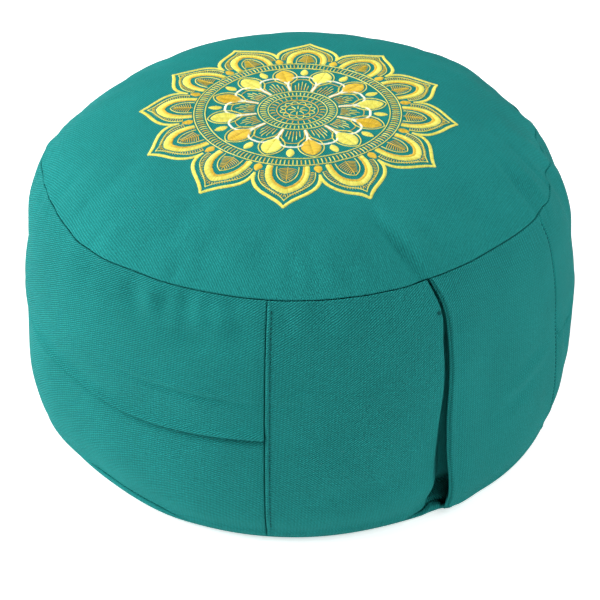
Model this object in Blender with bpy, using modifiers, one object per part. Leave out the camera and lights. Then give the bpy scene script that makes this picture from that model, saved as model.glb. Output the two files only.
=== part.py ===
"""Round meditation cushion (zafu): a stuffed body inside six cut pieces of cotton twill.

Metres, +Z up, origin on the floor under the middle. Azimuth 0 faces -Y (the side with the
top-stitched seam) and grows towards +X. Every point of the cushion is found on one outline,
which runs from the middle of the crown over the top seam, down the wall, over the base seam
and under to the middle of the base. A piece of cloth lies on that outline, and its edges turn
in where it is sewn; the stuffed body lies just under the cloth.
"""
import math
from collections import namedtuple

import bmesh
import bpy
from mathutils import Vector

MM = 0.001

# --- driving dimensions -------------------------------------------------------------------
TOP_SEAM_HEIGHT = 0.161
BASE_SEAM_HEIGHT = 0.008
CROWN_RISE = 0.039
CROWN_POWER = 4.0
WALL_POWER = 3.0
GATHER_POWER_ABOVE = 8.0
GATHER_POWER_BELOW = 5.0
WALL_ARC = 0.165
BASE_EDGE_RUN = 0.012
BASE_EDGE_SWELL = 0.0015

CLOTH = 0.0013
HEM = 0.0026
CLEARANCE = 0.00045
BODY_DEPTH = CLOTH + CLEARANCE

LEVEL_SEAM = 0.53
LEVEL_LIP = 0.0008
FRONT_SEAM = -6.0
RIGHT_SEAM = 64.0
LAP_EDGE = 30.0
LAP_TOP_SWAY = 2.4
LAP_SWAY_END = 0.16
UNDERLAP_RUN = 7.0
LAP_LIFT = 0.0014
UNDERLAP_DIP = 0.0032
MOUTH_DEPTH = 0.0060
MOUTH_CLOSING = 0.6
BODY_EASE = 1.2
UNDERLAP_COLUMNS = (-6.5, -4.8, -3.2, -1.6, 0.4, 3.4, 7.0, 10.0, 13.5)
LAP_SPANS = (0.0, 0.05, 0.10, 0.17, 0.26, 0.38, 0.52, 0.66, 0.80, 0.93)
HEM_COLUMNS = 4

# Rows away from the seams, shared by the cloth and the body under it, as shares of a zone.
CROWN_ROWS = (0.30, 0.55, 0.74, 0.86, 0.93)
UPPER_ROWS = (0.09, 0.18, 0.29, 0.41)
LOWER_ROWS = (0.64, 0.75, 0.85, 0.93)
BASE_ROWS = (0.62, 1.0)
FULL_ROWS = UPPER_ROWS + (LEVEL_SEAM,) + LOWER_ROWS
COLUMN_STEP = 6.0
SEAM_MARGIN = 2.5
WALL_RADIUS = 0.172

# Where a shape rises and falls again: past the lap's edge in degrees, or down the wall in shares.
Hump = namedtuple("Hump", "rise_from rise_to fall_from fall_to")
TUCKED_UNDER = Hump(-4.5, -1.0, 8.5, 13.0)
MOUTH_ROUND = Hump(-6.0, -0.5, 3.0, 12.0)
LAP_FREE = Hump(-2.0, -1.0, 3.0, 12.0)
LAP_HELD = Hump(0.0, 0.07, 0.93, 1.0)
MOUTH_OPENS = (0.22, 0.80)
MOUTH_CLOSES = (0.90, 1.0)
LIP_RISES = (LEVEL_SEAM - 0.10, LEVEL_SEAM - 0.02)
DIP_ON_CROWN = (0.95, 1.0)
DIP_ON_BASE = (0.0, 0.8)
BASE_CHANNEL = 0.34
BASE_LIFT = 1.2 * MM

# The cushion isn't turned on a lathe: one row for each section, sizes in millimetres.
Section = namedtuple("Section", "azimuth seam_radius seam_rise belly base_radius")
SECTIONS = (
    Section(0.0, 156.0, 0.0, 11.0, 173.5),
    Section(22.5, 156.0, 1.2, 10.5, 173.5),
    Section(45.0, 154.0, 1.8, 10.0, 174.0),
    Section(67.5, 157.5, 1.0, 10.5, 171.5),
    Section(90.0, 155.5, 0.4, 14.5, 169.0),
    Section(112.5, 157.5, -1.0, 15.0, 168.5),
    Section(135.0, 162.0, -0.5, 13.5, 168.5),
    Section(157.5, 160.0, -0.8, 12.0, 168.5),
    Section(180.0, 158.0, -0.4, 12.0, 168.5),
    Section(202.5, 156.5, -0.4, 11.5, 168.5),
    Section(225.0, 153.5, -0.9, 11.0, 168.5),
    Section(247.5, 154.5, -1.0, 10.5, 169.0),
    Section(270.0, 158.0, 0.0, 10.0, 170.0),
    Section(292.5, 155.5, -0.6, 10.5, 172.5),
    Section(315.0, 157.0, -1.2, 11.0, 168.5),
    Section(337.5, 154.5, -0.9, 11.5, 174.5),
)

# Small gathers where the stiff twill is eased into the round top seam, sizes in millimetres.
Tuck = namedtuple("Tuck", "azimuth half_width depth")
TUCKS = (
    Tuck(30.0, 9.0, 1.0),
    Tuck(78.0, 8.0, 1.2),
    Tuck(96.0, 9.0, 3.2),
    Tuck(120.0, 8.0, 1.8),
    Tuck(150.0, 8.0, 1.6),
    Tuck(186.0, 9.0, 1.4),
    Tuck(216.0, 8.0, 1.8),
    Tuck(240.0, 8.0, 1.6),
    Tuck(252.0, 7.0, 2.2),
    Tuck(288.0, 8.0, 1.8),
    Tuck(324.0, 9.0, 1.4),
)

# How a sewn edge turns in: how far the outer face is from the seam, and how deep it lies.
Turn = namedtuple("Turn", "away depth")
EDGE_TURN = (
    Turn(3.60 * MM, 0.00 * MM),
    Turn(1.20 * MM, 0.55 * MM),
    Turn(0.25 * MM, 2.40 * MM),
)

# The sewn channel that holds two such edges, measured in from the face of the stuffed body.
CHANNEL = (
    Turn(5.00 * MM, 0.00 * MM),
    Turn(2.60 * MM, 1.60 * MM),
    Turn(0.00 * MM, 1.80 * MM),
)

# The two ends of the outline's zones that meet at the top seam and at the base seam.
SEAM_SIDES = (
    (("crown", 1.0), ("wall", 0.0)),
    (("wall", 1.0), ("base", 0.0)),
)
SEAM_REACH = 0.03
FACING_STEP = 0.01

TEAL = (0.020, 0.279, 0.262, 1.0)
TEAL_SHADE = (0.014, 0.200, 0.188, 1.0)


# --- the outline --------------------------------------------------------------------------
def smooth(low, high, value):
    """Ease from 0 at low to 1 at high."""
    share = min(1.0, max(0.0, (value - low) / (high - low)))
    return share * share * (3.0 - 2.0 * share)


def hump(shape, value):
    """Rise to 1 and fall back to 0."""
    risen = smooth(shape.rise_from, shape.rise_to, value)
    return risen * (1.0 - smooth(shape.fall_from, shape.fall_to, value))


def around(column, azimuth):
    """One column of SECTIONS, read smoothly all the way round, in metres."""
    place = (azimuth % 360.0) / 360.0 * len(SECTIONS)
    first = int(place)
    share = place - first
    before, start, end, after = (
        getattr(SECTIONS[(first + step) % len(SECTIONS)], column) for step in (-1, 0, 1, 2)
    )
    linear = end - before
    square = 2.0 * before - 5.0 * start + 4.0 * end - after
    cube = 3.0 * (start - end) + after - before
    value = start + 0.5 * share * (linear + share * (square + share * cube))
    return value * MM


def gather(azimuth):
    """How far the tucks draw the top seam in at an azimuth."""
    drawn = 0.0
    for tuck in TUCKS:
        turn = abs((azimuth - tuck.azimuth + 180.0) % 360.0 - 180.0)
        drawn += tuck.depth * MM * (1.0 - smooth(0.0, tuck.half_width, turn))
    return drawn


def outline(azimuth, zone, share):
    """Radius and height of the cloth's outer face, without seams."""
    seam_radius = around("seam_radius", azimuth)
    seam_height = TOP_SEAM_HEIGHT + around("seam_rise", azimuth)
    drawn = gather(azimuth)
    if zone == "crown":
        level = TOP_SEAM_HEIGHT + (seam_height - TOP_SEAM_HEIGHT) * share ** 2
        radius = share * seam_radius - drawn * share ** GATHER_POWER_ABOVE
        return radius, level + CROWN_RISE * (1.0 - share ** CROWN_POWER)
    base_radius = around("base_radius", azimuth)
    if zone == "wall":
        top = seam_radius - drawn * (1.0 - share) ** GATHER_POWER_BELOW
        swell = around("belly", azimuth) * (1.0 - abs(2.0 * share - 1.0) ** WALL_POWER)
        radius = top + (base_radius - seam_radius) * share + swell
        return radius, seam_height + (BASE_SEAM_HEIGHT - seam_height) * share
    angle = share * math.pi / 2.0
    radius = base_radius - BASE_EDGE_RUN * (1.0 - math.cos(angle))
    return radius + BASE_EDGE_SWELL * math.sin(2.0 * angle), BASE_SEAM_HEIGHT * (1.0 - math.sin(angle))


def facing(azimuth, zone, share):
    """Outward direction of the outline, as radius and height."""
    low = max(0.0, share - FACING_STEP)
    high = min(1.0, share + FACING_STEP)
    start = outline(azimuth, zone, low)
    end = outline(azimuth, zone, high)
    across = Vector((-(end[1] - start[1]), end[0] - start[0]))
    return across.normalized()




def outward(azimuth, zone, share):
    """As facing, but the two cloths at a seam share the direction halfway between them."""
    direction = facing(azimuth, zone, share)
    for sides in SEAM_SIDES:
        for side_zone, side_share in sides:
            if side_zone != zone:
                continue
            pull = 1.0 - smooth(0.0, SEAM_REACH, abs(share - side_share))
            halfway = sum((facing(azimuth, *side) for side in sides), Vector((0.0, 0.0)))
            direction = direction.lerp(halfway.normalized(), pull)
    return direction.normalized()


def place(azimuth, zone, share, depth):
    """A point that lies depth under the outline."""
    radius, height = outline(azimuth, zone, share)
    direction = outward(azimuth, zone, share)
    radius -= depth * direction.x
    height -= depth * direction.y
    turn = math.radians(azimuth)
    return Vector((radius * math.sin(turn), -radius * math.cos(turn), height))


# --- the lap ------------------------------------------------------------------------------
def lap_edge(share):
    """Azimuth of the lap's free edge: it leans back near the top seam."""
    lean = 1.0 - smooth(0.0, LAP_SWAY_END, share)
    return LAP_EDGE - LAP_TOP_SWAY * lean


def underlap(azimuth, share):
    """How far the front panel and the body dip so that they pass under the lap."""
    past = azimuth - lap_edge(share)
    opening = smooth(*MOUTH_OPENS, share) * (1.0 - MOUTH_CLOSING * smooth(*MOUTH_CLOSES, share))
    return UNDERLAP_DIP * hump(TUCKED_UNDER, past) + MOUTH_DEPTH * hump(MOUTH_ROUND, past) * opening


def body_underlap(azimuth, share):
    """The body's dip: as wide as the front panel's and a little more, so that they stay apart."""
    spread_out = (-BODY_EASE, 0.0, BODY_EASE)
    return max(underlap(azimuth + ease, share) for ease in spread_out)


def lap_lift(azimuth, share):
    """How far the lap stands proud near its free edge; it is held down at both seams."""
    return LAP_LIFT * hump(LAP_FREE, azimuth - lap_edge(share)) * hump(LAP_HELD, share)


# --- rows and columns ---------------------------------------------------------------------
def edge_rows(seam_share, inward_sign, turns, arc):
    """Rows beside a seam, as (share, depth), from the farthest to the nearest."""
    return [(seam_share + inward_sign * turn.away / arc, turn.depth) for turn in turns]


def plain_rows(shares):
    """Rows that lie on the outline itself."""
    return [(share, 0.0) for share in shares]


def strip_rows(top_share, bottom_share, shares):
    """Rows of a wall piece that is sewn along both long edges."""
    upper = edge_rows(top_share, 1.0, EDGE_TURN, WALL_ARC)[::-1]
    lower = edge_rows(bottom_share, -1.0, EDGE_TURN, WALL_ARC)
    return upper + plain_rows(shares) + lower


def edge_columns(azimuth, sign, turns):
    """Columns beside an upright seam, as (azimuth, depth), from the farthest to the nearest."""
    return [(azimuth + sign * math.degrees(turn.away / WALL_RADIUS), turn.depth) for turn in turns]


def regular_columns(start, end):
    """Every COLUMN_STEP degrees between two upright edges, clear of both by a margin."""
    first = math.ceil((start + SEAM_MARGIN) / COLUMN_STEP)
    last = math.floor((end - SEAM_MARGIN) / COLUMN_STEP)
    return [(step * COLUMN_STEP, 0.0) for step in range(first, last + 1)]


def round_columns():
    """Every COLUMN_STEP degrees, all the way round."""
    return [(step * COLUMN_STEP, 0.0) for step in range(round(360.0 / COLUMN_STEP))]


# --- meshes -------------------------------------------------------------------------------
def new_object(name, rings, closed, caps, collection, material):
    """Loft a grid of rings into one surface; closed joins each ring, caps fill the ends."""
    mesh = bmesh.new()
    grid = [[mesh.verts.new(point) for point in ring] for ring in rings]
    for upper, lower in zip(grid, grid[1:]):
        count = len(upper)
        for column in range(count if closed else count - 1):
            following = (column + 1) % count
            mesh.faces.new((upper[column], lower[column], lower[following], upper[following]))
    for ring, centre in zip((grid[0], grid[-1]), caps):
        if centre is None:
            continue
        hub = mesh.verts.new(centre)
        for column in range(len(ring)):
            following = (column + 1) % len(ring)
            if ring is grid[0]:
                mesh.faces.new((hub, ring[column], ring[following]))
            else:
                mesh.faces.new((ring[column], hub, ring[following]))
    data = bpy.data.meshes.new(name)
    mesh.to_mesh(data)
    mesh.free()
    data.shade_smooth()
    data.materials.append(material)
    piece = bpy.data.objects.new(name, data)
    collection.objects.link(piece)
    return piece


def give_thickness(piece, thickness):
    """Turn the outer face of a piece into cloth by thickening it inwards."""
    wall = piece.modifiers.new("Cloth thickness", "SOLIDIFY")
    wall.thickness = thickness
    wall.offset = -1.0
    wall.use_even_offset = True
    return wall


def new_material(name, colour, roughness):
    material = bpy.data.materials.new(name)
    material.use_nodes = True
    shader = material.node_tree.nodes["Principled BSDF"]
    shader.inputs["Base Color"].default_value = colour
    shader.inputs["Roughness"].default_value = roughness
    shader.inputs["Metallic"].default_value = 0.0
    return material


# --- the pieces ---------------------------------------------------------------------------
def body_columns():
    """Columns of the body: closer together at the upright seams and under the lap."""
    edges = [seam % 360.0 for seam in (FRONT_SEAM, RIGHT_SEAM)]
    lap_start = LAP_EDGE + UNDERLAP_COLUMNS[0]
    lap_end = LAP_EDGE + UNDERLAP_COLUMNS[-1]
    columns = [(LAP_EDGE + past, 0.0) for past in UNDERLAP_COLUMNS]
    for azimuth, depth in round_columns():
        beside_seam = min(abs(azimuth - edge) for edge in edges) < SEAM_MARGIN
        if not beside_seam and not lap_start < azimuth < lap_end:
            columns.append((azimuth, depth))
    for edge in edges:
        columns += edge_columns(edge, -1.0, CHANNEL) + edge_columns(edge, 1.0, CHANNEL[:-1])
    return sorted(columns)


def body_rows():
    """Rows of the body, as (zone, share, depth), with a channel at each seam."""
    seams = [
        ("crown", edge_rows(1.0, -1.0, CHANNEL, WALL_RADIUS)),
        ("wall", edge_rows(0.0, 1.0, CHANNEL[:-1], WALL_ARC)[::-1]),
        ("level", edge_rows(LEVEL_SEAM, -1.0, CHANNEL, WALL_ARC)),
        ("level", edge_rows(LEVEL_SEAM, 1.0, CHANNEL[:-1], WALL_ARC)[::-1]),
        ("wall", edge_rows(1.0, -1.0, CHANNEL, WALL_ARC)),
    ]
    zones = [("crown", plain_rows(CROWN_ROWS)), *seams[:2], ("wall", plain_rows(UPPER_ROWS))]
    zones += [*seams[2:4], ("wall", plain_rows(LOWER_ROWS)), seams[4]]
    zones.append(("base", [(BASE_CHANNEL, BASE_LIFT)] + plain_rows(BASE_ROWS)))
    return [(zone, share, depth) for zone, rows in zones for share, depth in rows]


def body_point(zone, share, row_depth, azimuth, column_depth):
    """A point of the body: under the cloth, in a channel, or in the dip under the lap."""
    if zone == "crown":
        dip = body_underlap(azimuth, 0.0) * smooth(*DIP_ON_CROWN, share)
        return place(azimuth, "crown", share, BODY_DEPTH + row_depth + dip)
    if zone == "base":
        dip = body_underlap(azimuth, 1.0) * (1.0 - smooth(*DIP_ON_BASE, share))
        return place(azimuth, "base", share, BODY_DEPTH + row_depth + dip)
    in_front = azimuth > FRONT_SEAM + 360.0 or azimuth < RIGHT_SEAM
    if zone == "level" and in_front:  # the level seam stops at the two upright seams
        row_depth = 0.0
    depth = max(row_depth, column_depth) + body_underlap(azimuth, share)
    return place(azimuth, "wall", share, BODY_DEPTH + depth)


def make_body(collection, material):
    """The stuffed body: crowned, drawn in at both seams, with its sewn channels."""
    columns = body_columns()
    rings = [
        [body_point(zone, share, depth, *column) for column in columns]
        for zone, share, depth in body_rows()
    ]
    for point in rings[-1]:
        point.z = BODY_DEPTH
    crown = Vector((0.0, 0.0, TOP_SEAM_HEIGHT + CROWN_RISE - BODY_DEPTH))
    base = Vector((0.0, 0.0, BODY_DEPTH))
    return new_object("filled_cushion", rings, True, (crown, base), collection, material)


def make_top_panel(collection, material):
    """The round top: its rim turns down into the seam."""
    rows = plain_rows(CROWN_ROWS) + edge_rows(1.0, -1.0, EDGE_TURN, WALL_RADIUS)
    rings = [
        [place(azimuth, "crown", share, depth) for azimuth, _ in round_columns()]
        for share, depth in rows
    ]
    crown = Vector((0.0, 0.0, TOP_SEAM_HEIGHT + CROWN_RISE))
    piece = new_object("top_panel", rings, True, (crown, None), collection, material)
    give_thickness(piece, CLOTH)
    return piece


def make_base_panel(collection, material):
    """The round base: flat where it rests, its rim turned up into the seam."""
    rows = edge_rows(0.0, 1.0, EDGE_TURN, BASE_EDGE_RUN)[::-1] + plain_rows(BASE_ROWS)
    rings = [
        [place(azimuth, "base", share, depth) for azimuth, _ in round_columns()]
        for share, depth in rows
    ]
    for point in rings[-1]:
        point.z = 0.0
    piece = new_object("base_panel", rings, True, (None, Vector()), collection, material)
    give_thickness(piece, CLOTH)
    return piece


def wall_piece(name, rows, columns, shift, collection, material):
    """A wall piece; shift gives how far it lies under the outline, apart from its edges."""
    rings = []
    for share, row_depth in rows:
        ring = []
        for azimuth, column_depth in columns:
            depth = max(row_depth, column_depth) + shift(azimuth, share)
            ring.append(place(azimuth, "wall", share, depth))
        rings.append(ring)
    return new_object(name, rings, False, (None, None), collection, material)


def make_strips(collection, material):
    """The two long strips from the right seam round the back to the front seam."""
    end = FRONT_SEAM + 360.0
    columns = edge_columns(RIGHT_SEAM, 1.0, EDGE_TURN)[::-1]
    columns += regular_columns(RIGHT_SEAM, end)
    columns += edge_columns(end, -1.0, EDGE_TURN)

    def lip(azimuth, share):
        return -LEVEL_LIP * smooth(*LIP_RISES, share)

    def flush(azimuth, share):
        return 0.0

    upper = wall_piece(
        "upper_wall_strip", strip_rows(0.0, LEVEL_SEAM, UPPER_ROWS), columns, lip, collection, material
    )
    lower = wall_piece(
        "lower_wall_strip", strip_rows(LEVEL_SEAM, 1.0, LOWER_ROWS), columns, flush, collection, material
    )
    for piece in (upper, lower):
        give_thickness(piece, CLOTH)
    return upper, lower


def make_front_panel(collection, material):
    """The short panel between the front seam and the lap; its end is hidden under the lap."""
    columns = edge_columns(FRONT_SEAM, 1.0, EDGE_TURN)[::-1]
    columns += regular_columns(FRONT_SEAM, LAP_EDGE + UNDERLAP_COLUMNS[0])
    columns += [(LAP_EDGE + past, 0.0) for past in UNDERLAP_COLUMNS if past <= UNDERLAP_RUN]
    piece = wall_piece(
        "front_panel", strip_rows(0.0, 1.0, FULL_ROWS), columns, underlap, collection, material
    )
    give_thickness(piece, CLOTH)
    return piece


def make_lap_panel(collection, material):
    """The short panel that laps over the front panel; its hemmed edge is free and doubled."""
    sewn = edge_columns(0.0, -1.0, EDGE_TURN)
    rings = []
    for share, row_depth in strip_rows(0.0, 1.0, FULL_ROWS):
        edge = lap_edge(share)
        run = RIGHT_SEAM + sewn[0][0] - edge
        ring = []
        for span in LAP_SPANS:
            azimuth = edge + run * span
            ring.append(place(azimuth, "wall", share, row_depth - lap_lift(azimuth, share)))
        for offset, column_depth in sewn:
            depth = max(row_depth, column_depth)
            ring.append(place(RIGHT_SEAM + offset, "wall", share, depth))
        rings.append(ring)
    piece = new_object("lap_panel", rings, False, (None, None), collection, material)

    hem = piece.vertex_groups.new(name="hem")
    width = len(LAP_SPANS) + len(sewn)
    for vertex in piece.data.vertices:
        doubled = vertex.index % width < HEM_COLUMNS
        hem.add([vertex.index], 1.0 if doubled else CLOTH / HEM, "REPLACE")
    wall = give_thickness(piece, HEM)
    wall.vertex_group = hem.name
    return piece


def main():
    for item in list(bpy.data.objects):
        bpy.data.objects.remove(item, do_unlink=True)
    collection = bpy.data.collections.new("zafu_cushion")
    bpy.context.scene.collection.children.link(collection)
    twill = new_material("teal_twill", TEAL, 0.85)
    stuffing = new_material("stuffed_body", TEAL_SHADE, 0.90)
    make_body(collection, stuffing)
    make_top_panel(collection, twill)
    make_base_panel(collection, twill)
    make_strips(collection, twill)
    make_front_panel(collection, twill)
    make_lap_panel(collection, twill)


main()
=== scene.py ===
# %% [markdown]
# # A round meditation cushion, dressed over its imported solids
#
# The real thing is a zafu: a round bag of teal cotton twill, stuffed hard with grain hulls.
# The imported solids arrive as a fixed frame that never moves. Each soft solid is then replaced
# by a finer piece of cloth that lies in the same place, and the sewing is added on top.

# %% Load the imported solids
import math
from collections import namedtuple

import bpy
import numpy as np
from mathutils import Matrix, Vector
from mathutils.kdtree import KDTree


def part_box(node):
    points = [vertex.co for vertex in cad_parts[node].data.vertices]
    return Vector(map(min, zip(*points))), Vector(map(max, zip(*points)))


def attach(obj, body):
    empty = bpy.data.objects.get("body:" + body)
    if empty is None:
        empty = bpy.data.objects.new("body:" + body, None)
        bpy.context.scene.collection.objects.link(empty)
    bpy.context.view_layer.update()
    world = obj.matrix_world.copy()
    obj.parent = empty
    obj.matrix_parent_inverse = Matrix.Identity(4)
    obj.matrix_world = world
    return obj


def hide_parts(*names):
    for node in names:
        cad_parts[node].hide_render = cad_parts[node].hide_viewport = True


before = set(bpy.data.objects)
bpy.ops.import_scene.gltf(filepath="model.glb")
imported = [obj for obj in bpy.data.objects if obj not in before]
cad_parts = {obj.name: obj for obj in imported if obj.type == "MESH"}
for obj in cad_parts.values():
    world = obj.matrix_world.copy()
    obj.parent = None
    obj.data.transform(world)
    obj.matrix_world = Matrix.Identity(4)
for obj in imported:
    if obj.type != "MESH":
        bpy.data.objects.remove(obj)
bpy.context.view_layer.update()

for node in sorted(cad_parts):
    low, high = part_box(node)
    print(node, "reaches from", [round(x, 4) for x in low], "to", [round(x, 4) for x in high])

# %% [markdown]
# ## Where the photograph was taken from
#
# The top seam is nearly a circle, so its squashed outline gives the height of the camera, and
# the way the wall narrows towards the floor gives its distance. A camera placed by those two
# numbers shows the seams where the photograph shows them, with no shift of the lens.

# %% Camera
CAMERA_ELEVATION = math.radians(35.09)
CAMERA_DISTANCE = 1.0185
LOOKED_AT = Vector((0.0014, 0.0, 0.0521))
FRAME_PIXELS = 600
FOCAL_PIXELS = 1551

camera_data = bpy.data.cameras.new("camera")
camera_data.sensor_width = 36.0
camera_data.lens = camera_data.sensor_width * FOCAL_PIXELS / FRAME_PIXELS
camera = bpy.data.objects.new("camera", camera_data)
bpy.context.scene.collection.objects.link(camera)
back = Vector((0.0, -math.cos(CAMERA_ELEVATION), math.sin(CAMERA_ELEVATION)))
camera.location = LOOKED_AT + back * CAMERA_DISTANCE
camera.rotation_euler = (-back).to_track_quat("-Z", "Y").to_euler()
bpy.context.scene.camera = camera
print("camera at", [round(x, 3) for x in camera.location], "lens", round(camera_data.lens, 1), "mm")

# %% [markdown]
# ## One outline for the whole cushion
#
# Every piece lies on one outline: from the middle of the crown over the top seam, down the wall
# and under to the middle of the base. It could be one lathed curve, but a hand-stuffed cushion
# is never round, so a short table gives the outline at sixteen places round it, and a smooth
# curve joins them. The tucks are where the stiff cloth is eased into the round top seam.

# %% The outline's sizes
MM = 0.001
TOP_SEAM_HEIGHT = 0.161
BASE_SEAM_HEIGHT = 0.008
CROWN_RISE = 0.039
CROWN_ARC = 0.166
WALL_ARC = 0.165
WALL_RADIUS = 0.172
CURL_ARC = 0.0155
CLOTH = 1.2 * MM
CLEARANCE = 0.5 * MM

# How flat the crown and the wall are in the middle, and how near the top seam the tucks keep.
CROWN_POWER = 4
WALL_POWER = 3
GATHER_POWER_ABOVE = 8
GATHER_POWER_BELOW = 5

# Each section has its azimuth in degrees and its sizes in millimetres.
Section = namedtuple("Section", "azimuth seam_radius seam_rise belly base_radius")
SECTIONS = (
    Section(0.0, 156.0, 0.0, 11.0, 173.5),
    Section(22.5, 156.0, 1.2, 10.5, 171.8),
    Section(45.0, 154.0, 1.8, 10.0, 174.0),
    Section(67.5, 157.5, 1.0, 10.5, 171.5),
    Section(90.0, 155.5, 0.4, 14.5, 169.0),
    Section(112.5, 157.5, -1.0, 15.0, 168.5),
    Section(135.0, 162.0, -0.5, 13.5, 168.5),
    Section(157.5, 160.0, -0.8, 12.0, 168.5),
    Section(180.0, 158.0, -0.4, 12.0, 168.5),
    Section(202.5, 156.5, -0.4, 11.5, 168.5),
    Section(225.0, 153.5, -0.9, 11.0, 168.5),
    Section(247.5, 154.5, -1.0, 10.5, 169.0),
    Section(270.0, 158.0, 0.0, 10.0, 170.0),
    Section(292.5, 155.5, -0.6, 10.5, 172.5),
    Section(315.0, 157.0, -1.2, 11.0, 168.5),
    Section(337.5, 154.5, -0.9, 11.5, 172.8),
)

# The base disc's rim: where it shows, in degrees, with the ease at both ends; and how its seam
# stands out, runs in and swells where it shows and where the wall hides it.
RIM_SEEN = (-58.0, -16.0, 14.0)
Rim = namedtuple("Rim", "stands_out runs_in swells")
SEEN_RIM = Rim(0.0, 12.0 * MM, 1.5 * MM)
HIDDEN_RIM = Rim(0.6 * MM, 8.0 * MM, -0.8 * MM)
HIDDEN_SEAM_DROP = 6.0 * MM

# Azimuth and half width in degrees, depth in millimetres.
Tuck = namedtuple("Tuck", "azimuth half_width depth")
TUCKS = (
    Tuck(30.0, 9.0, 1.0),
    Tuck(78.0, 8.0, 1.2),
    Tuck(96.0, 9.0, 3.2),
    Tuck(120.0, 8.0, 1.8),
    Tuck(150.0, 8.0, 1.6),
    Tuck(186.0, 9.0, 1.4),
    Tuck(216.0, 8.0, 1.8),
    Tuck(240.0, 8.0, 1.6),
    Tuck(252.0, 7.0, 2.2),
    Tuck(288.0, 8.0, 1.8),
    Tuck(324.0, 9.0, 1.4),
)

# %% Reading the sizes smoothly
def smooth(low, high, value):
    """Ease from 0 at low to 1 at high."""
    share = np.clip((value - low) / (high - low), 0.0, 1.0)
    return share * share * (3.0 - 2.0 * share)


def around(column, azimuth):
    """One column of SECTIONS, read smoothly all the way round, in metres."""
    values = np.array([getattr(section, column) for section in SECTIONS]) * MM
    place = (azimuth % 360.0) / 360.0 * len(values)
    first = np.floor(place).astype(int)
    share = place - first
    before, start, end, after = (values[(first + step) % len(values)] for step in (-1, 0, 1, 2))
    linear = end - before
    square = 2.0 * before - 5.0 * start + 4.0 * end - after
    cube = 3.0 * (start - end) + after - before
    return start + 0.5 * share * (linear + share * (square + share * cube))


def turn_between(azimuth, centre):
    """Degrees from centre to azimuth the short way round, with its sign."""
    return (azimuth - centre + 180.0) % 360.0 - 180.0


# %% Small tucks, and how far all of them draw the seam in
SMALL_TUCKS = (
    Tuck(81.5, 6.0, 3.6),
    Tuck(91.0, 6.0, 1.8),
    Tuck(66.0, 4.0, 1.3),
    Tuck(-82.0, 5.0, 1.0),
    Tuck(-71.5, 5.5, -1.6),
    Tuck(-53.0, 5.0, -0.9),
)
TUCK_SEED = 11
UNSEEN_TUCKS = np.arange(102.0, 272.0, 13.0)


def unseen_tucks():
    """Slight tucks that make the seam waver behind, where the photograph doesn't show it."""
    chance = np.random.default_rng(TUCK_SEED)
    found = []
    for azimuth in UNSEEN_TUCKS:
        place, half_width = azimuth + chance.uniform(-4.0, 4.0), chance.uniform(4.0, 7.0)
        found.append(Tuck(place, half_width, chance.uniform(0.7, 1.9)))
    return tuple(found)


# A negative depth lets the seam out.
ALL_TUCKS = TUCKS + SMALL_TUCKS + unseen_tucks()


def gather(azimuth):
    """How far the tucks draw the top seam in."""
    drawn = 0.0
    for tuck in ALL_TUCKS:
        away = np.abs(turn_between(azimuth, tuck.azimuth))
        drawn = drawn + tuck.depth * MM * (1.0 - smooth(0.0, tuck.half_width, away))
    return drawn


# %% The outline itself
def rim_shows(azimuth):
    """1 where the base disc's rim stands out under the wall, 0 where the wall hides it."""
    low, high, ease = RIM_SEEN
    off = turn_between(azimuth, 0.5 * (low + high))
    half = 0.5 * (high - low)
    return 1.0 - smooth(half - ease, half, np.abs(off))


def curl(azimuth):
    """Radius of the base seam, and how the rim under it runs in and swells out."""
    shows = rim_shows(azimuth)
    out, run, swell = (seen * shows + hidden * (1.0 - shows) for seen, hidden in zip(SEEN_RIM, HIDDEN_RIM))
    return around("base_radius", azimuth) + out, run, swell


def outline(azimuth, zone, share):
    """Radius and height of the cloth's outer face, without seams. A wall's share may pass 1."""
    seam_radius = around("seam_radius", azimuth)
    rise = around("seam_rise", azimuth)
    drawn = gather(azimuth)
    base_radius, run, swell = curl(azimuth)
    if zone == "crown":
        height = TOP_SEAM_HEIGHT + rise * share**2 + CROWN_RISE * (1.0 - share**CROWN_POWER)
        return share * seam_radius - drawn * share**GATHER_POWER_ABOVE, height
    if zone == "floor":
        return (base_radius - run) * (1.0 - share), 0.0 * share
    under = share if zone == "base" else np.maximum(0.0, share - 1.0) * WALL_ARC / CURL_ARC
    angle = under * math.pi / 2.0
    low_radius = base_radius - run * (1.0 - np.cos(angle)) + swell * np.sin(2.0 * angle)
    low_height = BASE_SEAM_HEIGHT * (1.0 - np.sin(angle))
    if zone == "base":
        return low_radius, low_height
    down = np.minimum(share, 1.0)
    belly = around("belly", azimuth) * (1.0 - np.abs(2.0 * down - 1.0) ** WALL_POWER)
    top = seam_radius - drawn * (1.0 - down) ** GATHER_POWER_BELOW
    radius = top + (base_radius - seam_radius) * down + belly
    height = TOP_SEAM_HEIGHT + rise + (BASE_SEAM_HEIGHT - TOP_SEAM_HEIGHT - rise) * down
    return np.where(share > 1.0, low_radius, radius), np.where(share > 1.0, low_height, height)


# %% Which way the outline faces
FACING_STEP = 0.01
SEAM_EASE = 0.03
TOP_SEAM_SIDES = (("crown", 1.0), ("wall", 0.0))


def facing(azimuth, zone, share):
    """Outward direction of the outline, as a part along the radius and a part upwards."""
    low = np.maximum(0.0, share - FACING_STEP)
    high = share + FACING_STEP if zone == "wall" else np.minimum(1.0, share + FACING_STEP)
    start, end = outline(azimuth, zone, low), outline(azimuth, zone, high)
    across = np.stack([start[1] - end[1], end[0] - start[0]])
    return across / np.linalg.norm(across, axis=0)


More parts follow.
